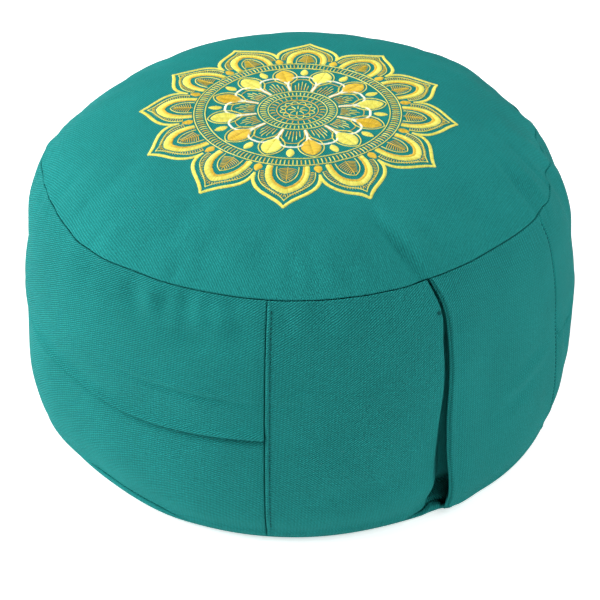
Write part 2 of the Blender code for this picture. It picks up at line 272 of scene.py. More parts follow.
def outward(azimuth, zone, share):
    """As facing, but the two cloths at the top seam share the direction halfway between them."""
    if zone == "floor":
        return np.stack([0.0 * (azimuth + share), -1.0 + 0.0 * (azimuth + share)])
    direction = facing(azimuth, zone, share)
    halfway = sum(facing(azimuth + 0.0 * share, side, at + 0.0 * share) for side, at in TOP_SEAM_SIDES)
    halfway = halfway / np.linalg.norm(halfway, axis=0)
    for side, at in TOP_SEAM_SIDES:
        if side == zone:
            pull = 1.0 - smooth(0.0, SEAM_EASE, np.abs(share - at))
            direction = direction + (halfway - direction) * pull
    return direction / np.linalg.norm(direction, axis=0)


widest = outline(np.arange(0.0, 360.0), "wall", 0.5)[0]
print("the wall's radius at half height is", widest.min().round(4), "to", widest.max().round(4))

# %% [markdown]
# ## Dents, folds and puckers
#
# Stuffed twill is smooth, but not perfectly: it dents beside the top seam, where more cloth than
# seam has to fit, and keeps soft folds. Each one seen in the photograph is a soft trough with
# its own place, size and depth; a negative depth is a ridge. The unseen rest gets puckers of
# the same kind from a seeded generator, so that the cushion is as real from behind.

# %% Flat cloth coordinates
FLAT_RIM = 0.25


def flat(zone, azimuth, share):
    """Where a point lies on the cloth laid flat, in metres: across it and along it."""
    turn = np.radians(azimuth)
    if zone == "wall":
        return WALL_RADIUS * turn, WALL_ARC * share + 0.0 * turn
    if zone == "crown":
        reach = CROWN_ARC * share
    elif zone == "base":
        reach = WALL_RADIUS + CURL_ARC * (FLAT_RIM - share)
    else:
        reach = (WALL_RADIUS - (1.0 - FLAT_RIM) * CURL_ARC) * (1.0 - share)
    return reach * np.sin(turn), -reach * np.cos(turn)


# %% The dents that the photograph shows
# Sizes in millimetres; turn is the dent's direction, from straight down the wall or out from
# the middle of the crown, in degrees.
Dent = namedtuple("Dent", "zone azimuth share length width turn depth")
DENTS = (
    Dent("crown", 24.0, 0.905, 24.0, 4.2, 22.0, 4.2),
    Dent("crown", 28.8, 0.915, 20.0, 5.0, 22.0, -2.0),
    Dent("crown", 20.0, 0.940, 12.0, 4.4, 22.0, -0.8),
    Dent("crown", 19.0, 0.870, 20.0, 11.0, 12.0, 0.9),
    Dent("crown", -1.2, 0.930, 9.0, 3.6, 4.0, 0.55),
    Dent("crown", 3.6, 0.935, 9.0, 3.4, -3.0, 0.6),
    Dent("crown", 10.2, 0.935, 11.0, 4.0, 14.0, 0.6),
    Dent("crown", -26.6, 0.975, 6.0, 2.6, -20.0, 1.0),
    Dent("crown", 65.2, 0.900, 16.0, 3.8, -22.0, 2.2),
    Dent("crown", 70.2, 0.920, 13.0, 4.0, -18.0, -1.2),
    Dent("crown", 76.5, 0.930, 13.0, 3.8, -18.0, 1.8),
    Dent("crown", 47.0, 0.900, 26.0, 9.0, -30.0, 0.7),
    Dent("crown", -55.0, 0.900, 20.0, 8.0, 15.0, 0.5),
    Dent("wall", -35.1, 0.062, 7.0, 7.0, 30.0, 2.1),
    Dent("wall", -33.0, 0.112, 8.0, 7.5, 35.0, 1.7),
    Dent("wall", -30.2, 0.080, 7.5, 6.5, 30.0, -1.7),
    Dent("wall", -27.0, 0.064, 6.5, 6.0, 25.0, 2.4),
    Dent("wall", -24.6, 0.098, 8.0, 6.5, 30.0, -2.2),
    Dent("wall", -22.4, 0.048, 6.0, 6.0, 20.0, 2.2),
    Dent("wall", -19.2, 0.092, 8.0, 7.0, 15.0, -2.3),
    Dent("wall", -17.8, 0.040, 5.0, 6.0, 0.0, 1.6),
    Dent("wall", -14.7, 0.090, 9.0, 6.5, 0.0, -1.8),
    Dent("wall", -13.2, 0.034, 5.0, 6.0, -6.0, 1.7),
    Dent("wall", -20.4, 0.160, 8.0, 20.0, 0.0, 2.6),
    Dent("wall", -10.6, 0.124, 9.0, 11.0, 0.0, 2.0),
    Dent("wall", -46.0, 0.080, 10.0, 7.0, 0.0, 1.1),
    Dent("wall", -41.5, 0.090, 10.0, 7.0, 0.0, -0.9),
    Dent("wall", -2.6, 0.060, 8.0, 5.0, 0.0, 1.4),
    Dent("wall", 0.8, 0.080, 9.0, 5.0, 0.0, -0.9),
    Dent("wall", 4.4, 0.055, 8.0, 6.0, 6.0, 1.3),
    Dent("wall", 9.5, 0.070, 9.0, 7.0, 0.0, -0.9),
    Dent("wall", 14.0, 0.050, 7.0, 6.0, 0.0, 1.0),
    Dent("wall", 22.0, 0.060, 9.0, 7.0, 0.0, 0.9),
    Dent("wall", 12.0, 0.780, 9.0, 30.0, 4.0, 1.2),
    Dent("wall", -38.0, 0.560, 17.0, 80.0, 0.0, 2.4),
    Dent("wall", 53.0, 0.500, 6.0, 18.0, 4.0, 1.5),
    Dent("wall", 48.6, 0.617, 6.0, 24.0, 10.0, 1.5),
    Dent("wall", 51.0, 0.555, 5.0, 20.0, 8.0, -0.8),
    Dent("wall", 57.0, 0.420, 7.0, 14.0, -10.0, 0.8),
    Dent("wall", 58.5, 0.760, 16.0, 6.0, 12.0, 0.9),
    Dent("wall", -19.5, 0.384, 2.0, 46.0, 0.0, 1.50),
    Dent("wall", -21.0, 0.358, 2.6, 50.0, 0.0, -0.45),
    Dent("wall", 7.5, 0.335, 1.7, 40.0, -8.0, 0.30),
    Dent("wall", 5.5, 0.527, 1.6, 13.0, 0.0, 0.35),
    Dent("wall", 69.5, 0.600, 16.0, 5.0, 4.0, 1.8),
    Dent("wall", 75.0, 0.480, 18.0, 6.0, 0.0, -0.8),
    Dent("wall", -84.0, 0.300, 14.0, 26.0, 0.0, 2.4),
    Dent("wall", -79.0, 0.660, 26.0, 26.0, 0.0, 2.9),
    Dent("wall", -71.0, 0.920, 16.0, 22.0, 0.0, 1.6),
    Dent("wall", 85.0, 0.340, 14.0, 18.0, 0.0, 1.9),
    Dent("wall", 79.5, 0.690, 13.0, 12.0, 0.0, 3.6),
    Dent("wall", 74.5, 0.820, 10.0, 14.0, 0.0, 1.4),
    Dent("wall", 91.0, 0.080, 8.0, 14.0, 0.0, -1.5),
    Dent("crown", -124.0, 0.920, 10.0, 30.0, 0.0, 2.0),
    Dent("crown", 112.0, 0.970, 8.0, 16.0, 0.0, 2.0),
)

# %% Puckers all round
PUCKER_SEED = 7
PUCKERS_ROUND = 54
SEEN = (-42.0, 84.0)


def unseen_puckers():
    """Small dents beside both sides of the top seam, where the photograph shows no cloth."""
    chance = np.random.default_rng(PUCKER_SEED)
    found = []
    for number in range(PUCKERS_ROUND):
        azimuth = 360.0 * (number + chance.uniform(-0.35, 0.35)) / PUCKERS_ROUND
        depth, width = chance.uniform(0.25, 0.8), chance.uniform(3.0, 5.0)
        length, lean = chance.uniform(6.0, 12.0), chance.uniform(-14.0, 14.0)
        zone = "wall" if chance.random() < 0.5 else "crown"
        share = chance.uniform(0.03, 0.08) if zone == "wall" else chance.uniform(0.92, 0.97)
        if not SEEN[0] < turn_between(azimuth, 0.0) < SEEN[1]:
            found.append(Dent(zone, azimuth, share, length, width, lean, depth))
    return tuple(found)


ALL_DENTS = DENTS + unseen_puckers()
print(len(DENTS), "dents from the photograph and", len(ALL_DENTS) - len(DENTS), "on the unseen side")


# %% Relief of the stuffed cloth
# Tables of small folds, one for each zone that has them. The simulation below fills it.
folds = {}


def folded(table, azimuth, share):
    """Read a table of heights, rows by share and columns round the cushion, between its cells."""
    azimuth, share = np.broadcast_arrays(azimuth, share)
    rows, columns = table.shape
    x = (azimuth % 360.0) / 360.0 * columns
    y = np.clip(share, 0.0, 1.0) * (rows - 1)
    left, upper = np.floor(x).astype(int), np.minimum(np.floor(y).astype(int), rows - 2)
    x, y = x - left, y - upper
    left, right = left % columns, (left + 1) % columns
    above = table[upper, left] * (1.0 - x) + table[upper, right] * x
    below = table[upper + 1, left] * (1.0 - x) + table[upper + 1, right] * x
    return above * (1.0 - y) + below * y


def relief(azimuth, zone, share):
    """How far the cloth stands out from the outline, in metres."""
    height = 0.0 * (azimuth + share)
    for dent in ALL_DENTS:
        if dent.zone != zone:
            continue
        middle = np.radians(dent.azimuth)
        if zone == "wall":
            off = turn_between(azimuth, dent.azimuth)
            across, along = WALL_RADIUS * np.radians(off), WALL_ARC * (share - dent.share)
        else:
            here, centre = flat(zone, azimuth, share), flat(zone, dent.azimuth, dent.share)
            x, y = here[0] - centre[0], here[1] - centre[1]
            across = x * np.cos(middle) + y * np.sin(middle)
            along = x * np.sin(middle) - y * np.cos(middle)
        lean = math.radians(dent.turn)
        long = along * math.cos(lean) + across * math.sin(lean)
        wide = across * math.cos(lean) - along * math.sin(lean)
        fall = (long / (dent.length * MM)) ** 2 + (wide / (dent.width * MM)) ** 2
        height = height - dent.depth * MM * np.exp(-fall)
    return height + folded(folds[zone], azimuth, share) if zone in folds else height


def spot(azimuth, zone, share, depth):
    """The place of a point of the cloth that lies depth under its outer face."""
    radius, height = outline(azimuth, zone, share)
    along, up = outward(azimuth, zone, share)
    sunk = depth - relief(azimuth, zone, share)
    radius, height = radius - sunk * along, height - sunk * up
    turn = np.radians(azimuth)
    return np.stack([radius * np.sin(turn), -radius * np.cos(turn), height + 0.0 * turn], axis=-1)


# %% [markdown]
# ## Twill
#
# Twill is woven so that its yarns step sideways in every row, which leaves fine slanting ridges,
# the wales, about a millimetre apart. A picture could be wrapped round the cushion, but the
# wales are a rule, so a few sums on the cloth's own flat coordinates make them at any distance.
# The same sums also paint shade into the cloth's colour: the hollows between wales are painted darker.

# %% A shader that is written as sums
class Wire:
    """A shader value, so that sums on it add their Math nodes."""

    def __init__(self, finish, socket):
        self.finish, self.socket = finish, socket

    def math(self, operation, *values):
        """A Math node on values and numbers."""
        numbers = dict(enumerate(values))
        return self.finish.node("ShaderNodeMath", {"operation": operation}, numbers)

    def __add__(self, other):
        return self.math("ADD", self, other)

    def __sub__(self, other):
        return self.math("SUBTRACT", self, other)

    def __rsub__(self, other):
        return self.math("SUBTRACT", other, self)

    def __mul__(self, other):
        return self.math("MULTIPLY", self, other)

    def __truediv__(self, other):
        return self.math("DIVIDE", self, other)

    def __rtruediv__(self, other):
        return self.math("DIVIDE", other, self)

    __radd__, __rmul__ = __add__, __mul__

    def wave(self):
        """0 to 1 and back, once for each whole number."""
        return 0.5 + 0.5 * self.math("SINE", self * (2.0 * math.pi))

    def held(self):
        """Kept from 0 to 1."""
        return self.math("MINIMUM", self.math("MAXIMUM", self, 0.0), 1.0)


class Finish:
    """A material in the making."""

    def __init__(self, name, roughness, **fixed):
        self.material = bpy.data.materials.new(name)
        self.material.use_nodes = True
        self.tree = self.material.node_tree
        self.shader = self.tree.nodes["Principled BSDF"]
        self.shader.inputs["Roughness"].default_value = roughness
        for socket, value in fixed.items():
            self.shader.inputs[socket.replace("_", " ")].default_value = value

    def node(self, kind, settings, values, output=0):
        """Any node: its settings first, then what its sockets hold."""
        made = self.tree.nodes.new(kind)
        for name, value in settings.items():
            setattr(made, name, value)
        for key, value in values.items():
            if isinstance(value, Wire):
                self.tree.links.new(value.socket, made.inputs[key])
            else:
                made.inputs[key].default_value = value
        return Wire(self, made.outputs[output])

    def feed(self, socket, wire):
        """Link a value to one of the shader's sockets."""
        self.tree.links.new(wire.socket, self.shader.inputs[socket])

    def mix(self, factor, one, other):
        """Two colours, mixed."""
        settings = {"data_type": "RGBA", "blend_type": "MIX"}
        return self.node("ShaderNodeMix", settings, {0: factor, 6: one, 7: other}, 2)

    def noise(self, place, scale, detail=2.0):
        """Smooth random grey with about scale bumps to a metre."""
        return self.node("ShaderNodeTexNoise", {}, {"Vector": place, "Scale": scale, "Detail": detail})

    def bump(self, height, distance):
        """Tilt the shader's normals as a relief distance metres deep would."""
        values = {"Height": height, "Distance": distance, "Strength": 1.0}
        self.feed("Normal", self.node("ShaderNodeBump", {}, values))


# %% Twill finish
# DARK_TEAL is both the cloth's darker random tone and the painted shade in the hollows between wales.
LIGHT_TEAL = (0.024, 0.390, 0.366, 1.0)
DARK_TEAL = (0.009, 0.150, 0.142, 1.0)
SHEEN_TEAL = (0.10, 0.90, 0.86, 1.0)
WALE_PITCH = 1.22 * MM
WALE_BUMP = 0.65 * MM
FLOAT_LENGTH = 2.3 * MM
FLOAT_STEP = 0.38
WEFT_STREAKS = (900.0, 110.0, 1.0)


def twill(name, lean, ribbing, light, dark):
    """Cotton twill: wales lean degrees from across the flat cloth, ribbing is how plain they are."""
    finish = Finish(name, 0.9, Specular_IOR_Level=0.06, Sheen_Weight=0.06, Sheen_Roughness=0.5)
    finish.shader.inputs["Sheen Tint"].default_value = SHEEN_TEAL
    uv = finish.node("ShaderNodeUVMap", {"uv_map": "weave"}, {})
    across = finish.node("ShaderNodeSeparateXYZ", {}, {0: uv}, 0)
    along = finish.node("ShaderNodeSeparateXYZ", {}, {0: uv}, 1)
    s, c = math.sin(math.radians(lean)), math.cos(math.radians(lean))
    waver = finish.noise(uv, 120.0) * 0.8
    wale = (across * s + along * c) / WALE_PITCH + waver
    step = wale.math("FLOOR", wale)
    yarn = ((across * c - along * s) / FLOAT_LENGTH + step * FLOAT_STEP).wave()
    fibre = finish.noise(uv, 1900.0, 3.0)
    speck = finish.noise(uv, 700.0, 2.0)
    streak = finish.noise(finish.node("ShaderNodeMapping", {}, {"Vector": uv, "Scale": WEFT_STREAKS}), 1.0)
    patch = finish.noise(uv, 22.0, 3.0)
    ridge = wale.wave() * (0.55 + 0.45 * yarn)
    # The ridge term is painted shade, darker in the hollows between wales; fibre, speck, streak and patch
    # are the cloth's own random tone.
    tone = ridge * (0.85 * ribbing) + (1.0 - ribbing) * 0.24
    tone = tone + fibre * 0.35 + speck * 0.50 + streak * 0.12 + patch * 0.30 - 0.58
    finish.feed("Base Color", finish.mix(tone.held(), dark, light))
    finish.bump(ridge * ribbing + fibre * 0.25 + speck * 0.25, WALE_BUMP)
    return finish.material


wall_twill = twill("teal_twill_wall", 33.0, 1.0, LIGHT_TEAL, DARK_TEAL)
round_twill = twill("teal_twill_round", 60.0, 0.55, LIGHT_TEAL, DARK_TEAL)
print("twill wales every", WALE_PITCH / MM, "mm")

# %% [markdown]
# ## Cutting and sewing the cloth
#
# Each piece is a sheet with a real thickness. Its outer face is a grid of points on the outline;
# where an edge is sewn, the last rows turn down round a small radius into the seam, as cloth
# does when it is stitched from the inside. Solidify then gives the sheet its thickness.

# %% How a sewn edge turns in
# In millimetres: half the gap between two cloths, the small round that each turns down by, how
# deep it goes, and the soft shoulder beside it.
SEAM_HALF_GAP = 0.20
TURN_RADIUS = 0.85
TURN_REACH = 2.4
SHOULDER = 0.45
SHOULDER_RUN = 7.0
SHOULDER_ROWS = [1.4, 2.1, 3.0, 4.2, 5.5, SHOULDER_RUN]
TURN_STEPS = 6


def sewn_edge():
    """Distances from the seam and depths of the outer face there, in millimetres, nearest first."""
    away, depth = [SEAM_HALF_GAP, SEAM_HALF_GAP], [TURN_REACH, 0.5 * (TURN_REACH + TURN_RADIUS)]
    for step in range(TURN_STEPS + 1):
        angle = 0.5 * math.pi * step / TURN_STEPS
        away.append(SEAM_HALF_GAP + TURN_RADIUS * (1.0 - math.cos(angle)))
        depth.append(TURN_RADIUS * (1.0 - math.sin(angle)))
    away, depth = np.array(away + SHOULDER_ROWS), np.array(depth + [0.0] * len(SHOULDER_ROWS))
    return away * MM, (depth + SHOULDER * (1.0 - smooth(0.0, SHOULDER_RUN, away))) * MM


EDGE_AWAY, EDGE_DEPTH = sewn_edge()
EDGE_RUN = SHOULDER_RUN * MM


# %% Sheets from grids
def sheet_mesh(name, points, weave, material, closed=False, first_hub=None, last_hub=None):
    """The outer face of a sheet, from a grid of places and of flat coordinates."""
    rows, columns = points.shape[:2]
    index = np.arange(rows * columns).reshape(rows, columns)
    following = np.roll(index, -1, axis=1) if closed else index[:, 1:]
    here = index if closed else index[:, :-1]
    faces = np.stack([here[:-1], here[1:], following[1:], following[:-1]], axis=-1)
    faces = [tuple(face) for face in faces.reshape(-1, 4).tolist()]
    places, flats = points.reshape(-1, 3), weave.reshape(-1, 2)
    for hub, ring in ((first_hub, index[0]), (last_hub, index[-1, ::-1])):
        if hub is not None:
            centre = len(places)
            places, flats = np.vstack([places, [hub]]), np.vstack([flats, [(0.0, 0.0)]])
            pairs = zip(ring.tolist(), np.roll(ring, -1).tolist())
            faces += [(centre, start, end) for start, end in pairs]
    mesh = bpy.data.meshes.new(name)
    mesh.from_pydata(places.tolist(), [], faces)
    corners = np.zeros(len(mesh.loops), int)
    mesh.loops.foreach_get("vertex_index", corners)
    layer = mesh.uv_layers.new(name="weave")
    layer.data.foreach_set("uv", flats[corners].astype(np.float32).ravel())
    mesh.shade_smooth()
    mesh.materials.append(material)
    piece = bpy.data.objects.new(name, mesh)
    bpy.context.scene.collection.objects.link(piece)
    return piece


def settle(piece):
    """Make what the modifiers show the piece's own plain mesh."""
    scene_now = bpy.context.evaluated_depsgraph_get()
    mesh = bpy.data.meshes.new_from_object(piece.evaluated_get(scene_now))
    piece.modifiers.clear()
    piece.data = mesh
    return piece


def thicken(piece):
    """Give a sheet its thickness, inwards from its outer face, and say how large it is."""
    area = sum(face.area for face in piece.data.polygons)
    wall = piece.modifiers.new("thickness", "SOLIDIFY")
    wall.thickness, wall.offset = CLOTH, -1.0
    settle(piece)
    print(f"{piece.name}: {len(piece.data.polygons)} faces, {area:.4f} square metres")
    return piece


# %% [markdown]
# ## Stuffing the cover
#
# What gives a stuffed cover its small folds is that the filling pushes while the seams hold.
# Blender's Cloth can act that out: a skin in the cushion's shape is remeshed into even cells,
# blown up a little from inside with no gravity, and pinned where the seams and the floor hold
# it. Its cells know no seams or weave, so the skin itself isn't kept. What it learned, how far
# each place moved in or out beyond the broad swelling, is kept as a table of small heights,
# and every sheet and the stuffing are then built with them.

# %% The skin, and where it is held
SKIN_ZONES = (
    ("crown", np.linspace(0.03, 1.0, 42)),
    ("wall", np.linspace(0.03, 0.97, 40)),
    ("base", np.linspace(0.1, 1.0, 6)),
    ("floor", np.linspace(0.08, 0.92, 24)),
)
SKIN_AZIMUTHS = np.arange(0.0, 360.0, 1.5)
SKIN_DEPTH = 0.5 * CLOTH
HELD_NEAR = 4.0 * MM
FLOOR_NEAR = 2.0 * MM


def rings_of(zones, azimuths, depth_at):
    """A closed form's rings, from the crown to the base, at a depth under the outline."""
    rings = []
    for zone, shares in zones:
        azimuth, share = np.meshgrid(azimuths, shares)
        rings.append(spot(azimuth, zone, share, depth_at(azimuth, zone, share)))
    return np.concatenate(rings)


def places_of(mesh):
    """The places of a mesh's points, one row each."""
    found = np.zeros(3 * len(mesh.vertices))
    mesh.vertices.foreach_get("co", found)
    return found.reshape(-1, 3)


def held_by_seams(places):
    """True for the skin's points that lie at a sewn seam or on the floor."""
    azimuth = np.degrees(np.arctan2(places[:, 0], -places[:, 1]))
    radius = np.hypot(places[:, 0], places[:, 1])
    held = places[:, 2] < FLOOR_NEAR
    for zone in ("crown", "wall"):
        seam_radius, seam_height = outline(azimuth, zone, 1.0 + 0.0 * azimuth)
        held |= np.hypot(radius - seam_radius, places[:, 2] - seam_height) < HELD_NEAR
    return held


# %% Simulate it
SKIN_CELL = 4.5 * MM
SKIN_PRESSURE = 4.0
SKIN_EXCESS = 0.012
SKIN_FRAMES = 20
SKIN_CAP = 6.0 * MM


def stuffed_skin():
    """The skin's points before the filling pushes them out, and how far each one moves."""
    rings = rings_of(SKIN_ZONES, SKIN_AZIMUTHS, lambda azimuth, zone, share: SKIN_DEPTH)
    tip, foot = (0.0, 0.0, float(rings[0, :, 2].mean())), (0.0, 0.0, SKIN_DEPTH)
    skin = sheet_mesh("skin", rings, rings[..., :2], wall_twill, True, tip, foot)
    cells = skin.modifiers.new("cells", "REMESH")
    cells.mode, cells.voxel_size = "VOXEL", SKIN_CELL
    settle(skin)
    before = places_of(skin.data)
    held = skin.vertex_groups.new(name="held")
    held.add(np.flatnonzero(held_by_seams(before)).tolist(), 1.0, "REPLACE")
    cloth = skin.modifiers.new("cloth", "CLOTH")
    cloth.settings.use_pressure = True
    cloth.settings.uniform_pressure_force = SKIN_PRESSURE
    cloth.settings.effector_weights.gravity = 0.0
    cloth.settings.vertex_group_mass = "held"
    cloth.settings.shrink_min = -SKIN_EXCESS
    cloth.point_cache.frame_start, cloth.point_cache.frame_end = 1, SKIN_FRAMES
    for number in range(1, SKIN_FRAMES + 1):
        bpy.context.scene.frame_set(number)
    shown = skin.evaluated_get(bpy.context.evaluated_depsgraph_get()).to_mesh()
    move = places_of(shown) - before
    bpy.context.scene.frame_set(1)
    bpy.data.objects.remove(skin)
    far = np.linalg.norm(move, axis=1, keepdims=True)
    return before, move * np.minimum(1.0, SKIN_CAP / np.maximum(far, 1e-9))


# %% Keep its small folds
FOLD_SHARES = np.linspace(0.0, 1.0, 43)
FOLD_CAP = 1.3 * MM
NEAREST_POINTS = 4
CELL_NOISE = (0.6, 0.6)
BROAD_SWELLING = (6.0, 9.0)


def blurred(table, sizes):
    """A table smoothed over some rows and, all the way round, over some columns."""
    for axis, size in enumerate(sizes):
        reach = int(3 * size)
        offsets = np.arange(-reach, reach + 1)
        weights = np.exp(-0.5 * (offsets / size) ** 2)
        count = table.shape[axis]
        places = np.arange(count)[:, None] + offsets
        places = places % count if axis == 1 else np.clip(places, 0, count - 1)
        near = np.take(table, places, axis=axis)
        table = np.tensordot(near, weights / weights.sum(), axes=([axis + 1], [0]))
    return table


def heights_on(zone, near, move):
    """How far the skin moved outwards, at each place of a table."""
    azimuth, share = np.meshgrid(SKIN_AZIMUTHS, FOLD_SHARES)
    places = spot(azimuth, zone, share, SKIN_DEPTH)
    along, up = outward(azimuth, zone, share)
    turn = np.radians(azimuth)
    normal = np.stack([along * np.sin(turn), -along * np.cos(turn), up], axis=-1)
    heights = np.zeros(azimuth.shape)
    for cell in np.ndindex(azimuth.shape):
        close = near.find_n(places[cell].tolist(), NEAREST_POINTS)
        weights = np.array([1.0 / (distance + 1.0 * MM) ** 2 for _, _, distance in close])
        moved = sum(move[number] * weight for (_, number, _), weight in zip(close, weights))
        heights[cell] = (moved / weights.sum()) @ normal[cell]
    return blurred(heights, CELL_NOISE)


def learned_folds():
    """Small heights for each zone, read off the simulated skin."""
    before, move = stuffed_skin()
    near = KDTree(len(before))
    for number, place in enumerate(before.tolist()):
        near.insert(place, number)
    near.balance()
    edge = smooth(0.0, SEAM_EASE, FOLD_SHARES) * smooth(0.0, SEAM_EASE, 1.0 - FOLD_SHARES)
    found = {}
    for zone in ("crown", "wall"):
        heights = heights_on(zone, near, move)
        small = heights - blurred(heights, BROAD_SWELLING)
        found[zone] = FOLD_CAP * np.tanh(small / FOLD_CAP) * edge[:, None]
        print(f"{zone} swells {heights.mean() / MM:.2f} mm; its folds reach "
              f"{np.abs(found[zone]).max() / MM:.2f} mm, and {found[zone].std() / MM:.3f} mm as a rule")
    return found


folds.update(learned_folds())

# %% [markdown]
# ### The round top
#
# The top is one disc of twill. Stuffing lifts it into a crown, and its rim is turned down into
# the seam. Its weave is laid out from the flat disc, so the wales run straight across it.

# %% Top panel
AZIMUTHS = np.arange(0.0, 360.0, 1.0)
ROUND_ROW_STEP = 2.3 * MM
FIRST_RING = 0.02


def round_grid(zone, shares, depths):
    """Places and flat coordinates of a disc's rings, one for each share."""
    azimuth, share = np.meshgrid(AZIMUTHS, shares)
    depth = np.repeat(np.asarray(depths)[:, None], len(AZIMUTHS), axis=1)
    return spot(azimuth, zone, share, depth), np.stack(flat(zone, azimuth, share), axis=-1)


rim = 1.0 - EDGE_RUN / CROWN_ARC
inner = np.linspace(FIRST_RING, rim, round((rim - FIRST_RING) * CROWN_ARC / ROUND_ROW_STEP))
crown_shares = np.concatenate([inner[:-1], 1.0 - EDGE_AWAY[::-1] / CROWN_ARC])
crown_depths = np.concatenate([0.0 * inner[:-1], EDGE_DEPTH[::-1]])
points, weave = round_grid("crown", crown_shares, crown_depths)
crown_hub = (0.0, 0.0, TOP_SEAM_HEIGHT + CROWN_RISE)
top_cloth = thicken(sheet_mesh("top_cloth", points, weave, round_twill, True, crown_hub))

# %% [markdown]
# ### The base
#
# The base is the same kind of disc. The floor holds it flat, and only its rim curls up to the
# seam, so it is made of two zones: the curl, and the flat part that the cushion rests on.

# %% The base's rim
def seam_drop(azimuth):
    """How far the base seam lies down the curl: the wall runs on under where it hides the rim."""
    return HIDDEN_SEAM_DROP * (1.0 - rim_shows(azimuth))


RIM_PULL = 7.0 * MM
MOUTH_FOOT = 30.2


def rim_pull(azimuth, share):
    """How far the base's rim draws in where the lap gapes over it."""
    past = azimuth - MOUTH_FOOT
    across = smooth(-4.2, -1.4, past) * (1.0 - smooth(-0.6, 0.8, past))
    return RIM_PULL * across * (1.0 - smooth(0.0, 0.8, share))


# %% Base panel
CURL_ROWS = CURL_ARC * np.array([0.60, 0.74, 0.86, 0.95])
near_seam = EDGE_AWAY[EDGE_AWAY < 0.5 * CURL_ARC]
azimuth, away = np.meshgrid(AZIMUTHS, np.concatenate([near_seam, CURL_ROWS]))
turned_down = np.concatenate([EDGE_DEPTH[: len(near_seam)], 0.0 * CURL_ROWS])[:, None] + 0.0 * azimuth
drop = seam_drop(azimuth)
share = (drop + away * (1.0 - drop / CURL_ARC)) / CURL_ARC
curl_points = spot(azimuth, "base", share, turned_down + rim_pull(azimuth, share))
curl_weave = np.stack(flat("base", azimuth, share), axis=-1)
level_shares = np.linspace(0.0, 0.97, 26)
level, level_weave = round_grid("floor", level_shares, 0.0 * level_shares)
level[..., 2] = 0.0
points, weave = np.concatenate([curl_points, level]), np.concatenate([curl_weave, level_weave])
base_cloth = sheet_mesh("base_cloth", points, weave, round_twill, True, last_hub=(0.0, 0.0, 0.0))
thicken(base_cloth)

# %% [markdown]
# ### The wall
#
# The wall is pieced: two long strips go round the left, the back and the far right, one above
# the other, and two short panels close the front. Between them a panel with a free hemmed edge
# laps over the other, so that the cushion can be filled. All four are made by one function,
# which takes the seams that bound a piece and how it stands up or dips near them.

# %% Where the wall's seams run
FRONT_SEAM = -6.0
RIGHT_SEAM = 64.0
LAP_EDGE = 29.9
LEVEL_SEAM = 0.53
LEVEL_SAG = 0.034
SAG_MIDDLE = -36.0
SAG_HALF_WIDTH = 31.0


def level_seam(azimuth):
    """The level seam sags a little between the front seam and the left side."""
    away = np.abs(turn_between(azimuth, SAG_MIDDLE))
    return LEVEL_SEAM + LEVEL_SAG * (1.0 - smooth(0.0, SAG_HALF_WIDTH, away))


def lap_edge(share):
    """Azimuth of the lap's free edge: it curves back to the top seam and sways lower down."""
    near_top = np.clip(1.0 - share / 0.17, 0.0, 1.0)
    sway = -0.9 * smooth(0.30, 0.60, share) * (1.0 - smooth(0.68, 0.95, share))
    return LAP_EDGE - 2.0 * near_top**2 + (sway + 0.3 * smooth(0.84, 1.0, share))


def degrees_of(length):
    """The turn round the wall that a length takes up."""
    return np.degrees(length / WALL_RADIUS)


# %% Wall pieces
ROW_STEP = 1.7 * MM
COLUMN_STEP = 1.0


def wall_rows(top, bottom):
    """Each row's shares down the wall, one number for each column, and its depth."""
    run = WALL_ARC * float(np.mean(bottom) - np.mean(top))
    middle = max(3, round((run - 2.0 * EDGE_RUN) / ROW_STEP))
    start, end = top + EDGE_RUN / WALL_ARC, bottom - EDGE_RUN / WALL_ARC
    shares = [top + away / WALL_ARC for away in EDGE_AWAY]
    shares += [start + (end - start) * (step / middle) for step in range(1, middle)]
    shares += [bottom - away / WALL_ARC for away in EDGE_AWAY[::-1]]
    return np.stack(shares), np.concatenate([EDGE_DEPTH, np.zeros(middle - 1), EDGE_DEPTH[::-1]])


def wall_cloth(name, top, bottom, columns, column_depths, shift):
    """A wall piece. columns is one azimuth for each, or a function of share that gives them."""
    shares, row_depths = wall_rows(top, bottom)
    if callable(columns):
        azimuths = np.stack([columns(share) for share in shares[:, 0]])
    else:
        azimuths = np.repeat(columns[None, :], len(shares), axis=0)
    row_depths = row_depths[:, None] + 0.0 * azimuths
    depths = np.maximum(row_depths, np.where(column_depths > 0.0, column_depths, 0.0))
    depths = depths + np.minimum(column_depths, 0.0) + shift(azimuths, shares)
    points = spot(azimuths, "wall", shares, depths)
    across, down = flat("wall", azimuths, shares)
    steps = np.hypot(np.diff(across, axis=1), np.diff(depths, axis=1))
    run = np.concatenate([np.zeros((len(shares), 1)), np.cumsum(steps, axis=1)], axis=1)
    middle = run.shape[1] // 2
    across = across[:, middle : middle + 1] + run - run[:, middle : middle + 1]
    return sheet_mesh(name, points, np.stack([across, down], axis=-1), wall_twill)


# %% The two long strips
LEVEL_LIP = 2.1 * MM
LIP_MIDDLE = -32.0
LIP_LEAST = 0.40
LEVEL_SUNK = 1.5 * MM


def wall_foot(azimuth):
    """Share at which the wall ends in the base seam."""
    return 1.0 + seam_drop(azimuth) / WALL_ARC


def strip_columns():
    """Azimuths across a long strip, from the right seam round to the front seam, and depths."""
    end = FRONT_SEAM + 360.0
    first, last = RIGHT_SEAM + degrees_of(EDGE_RUN), end - degrees_of(EDGE_RUN)
    middle = np.linspace(first, last, round((last - first) / COLUMN_STEP))[1:-1]
    azimuths = [RIGHT_SEAM + degrees_of(EDGE_AWAY), middle, end - degrees_of(EDGE_AWAY[::-1])]
    depths = [EDGE_DEPTH, 0.0 * middle, EDGE_DEPTH[::-1]]
    return np.concatenate(azimuths), np.concatenate(depths)


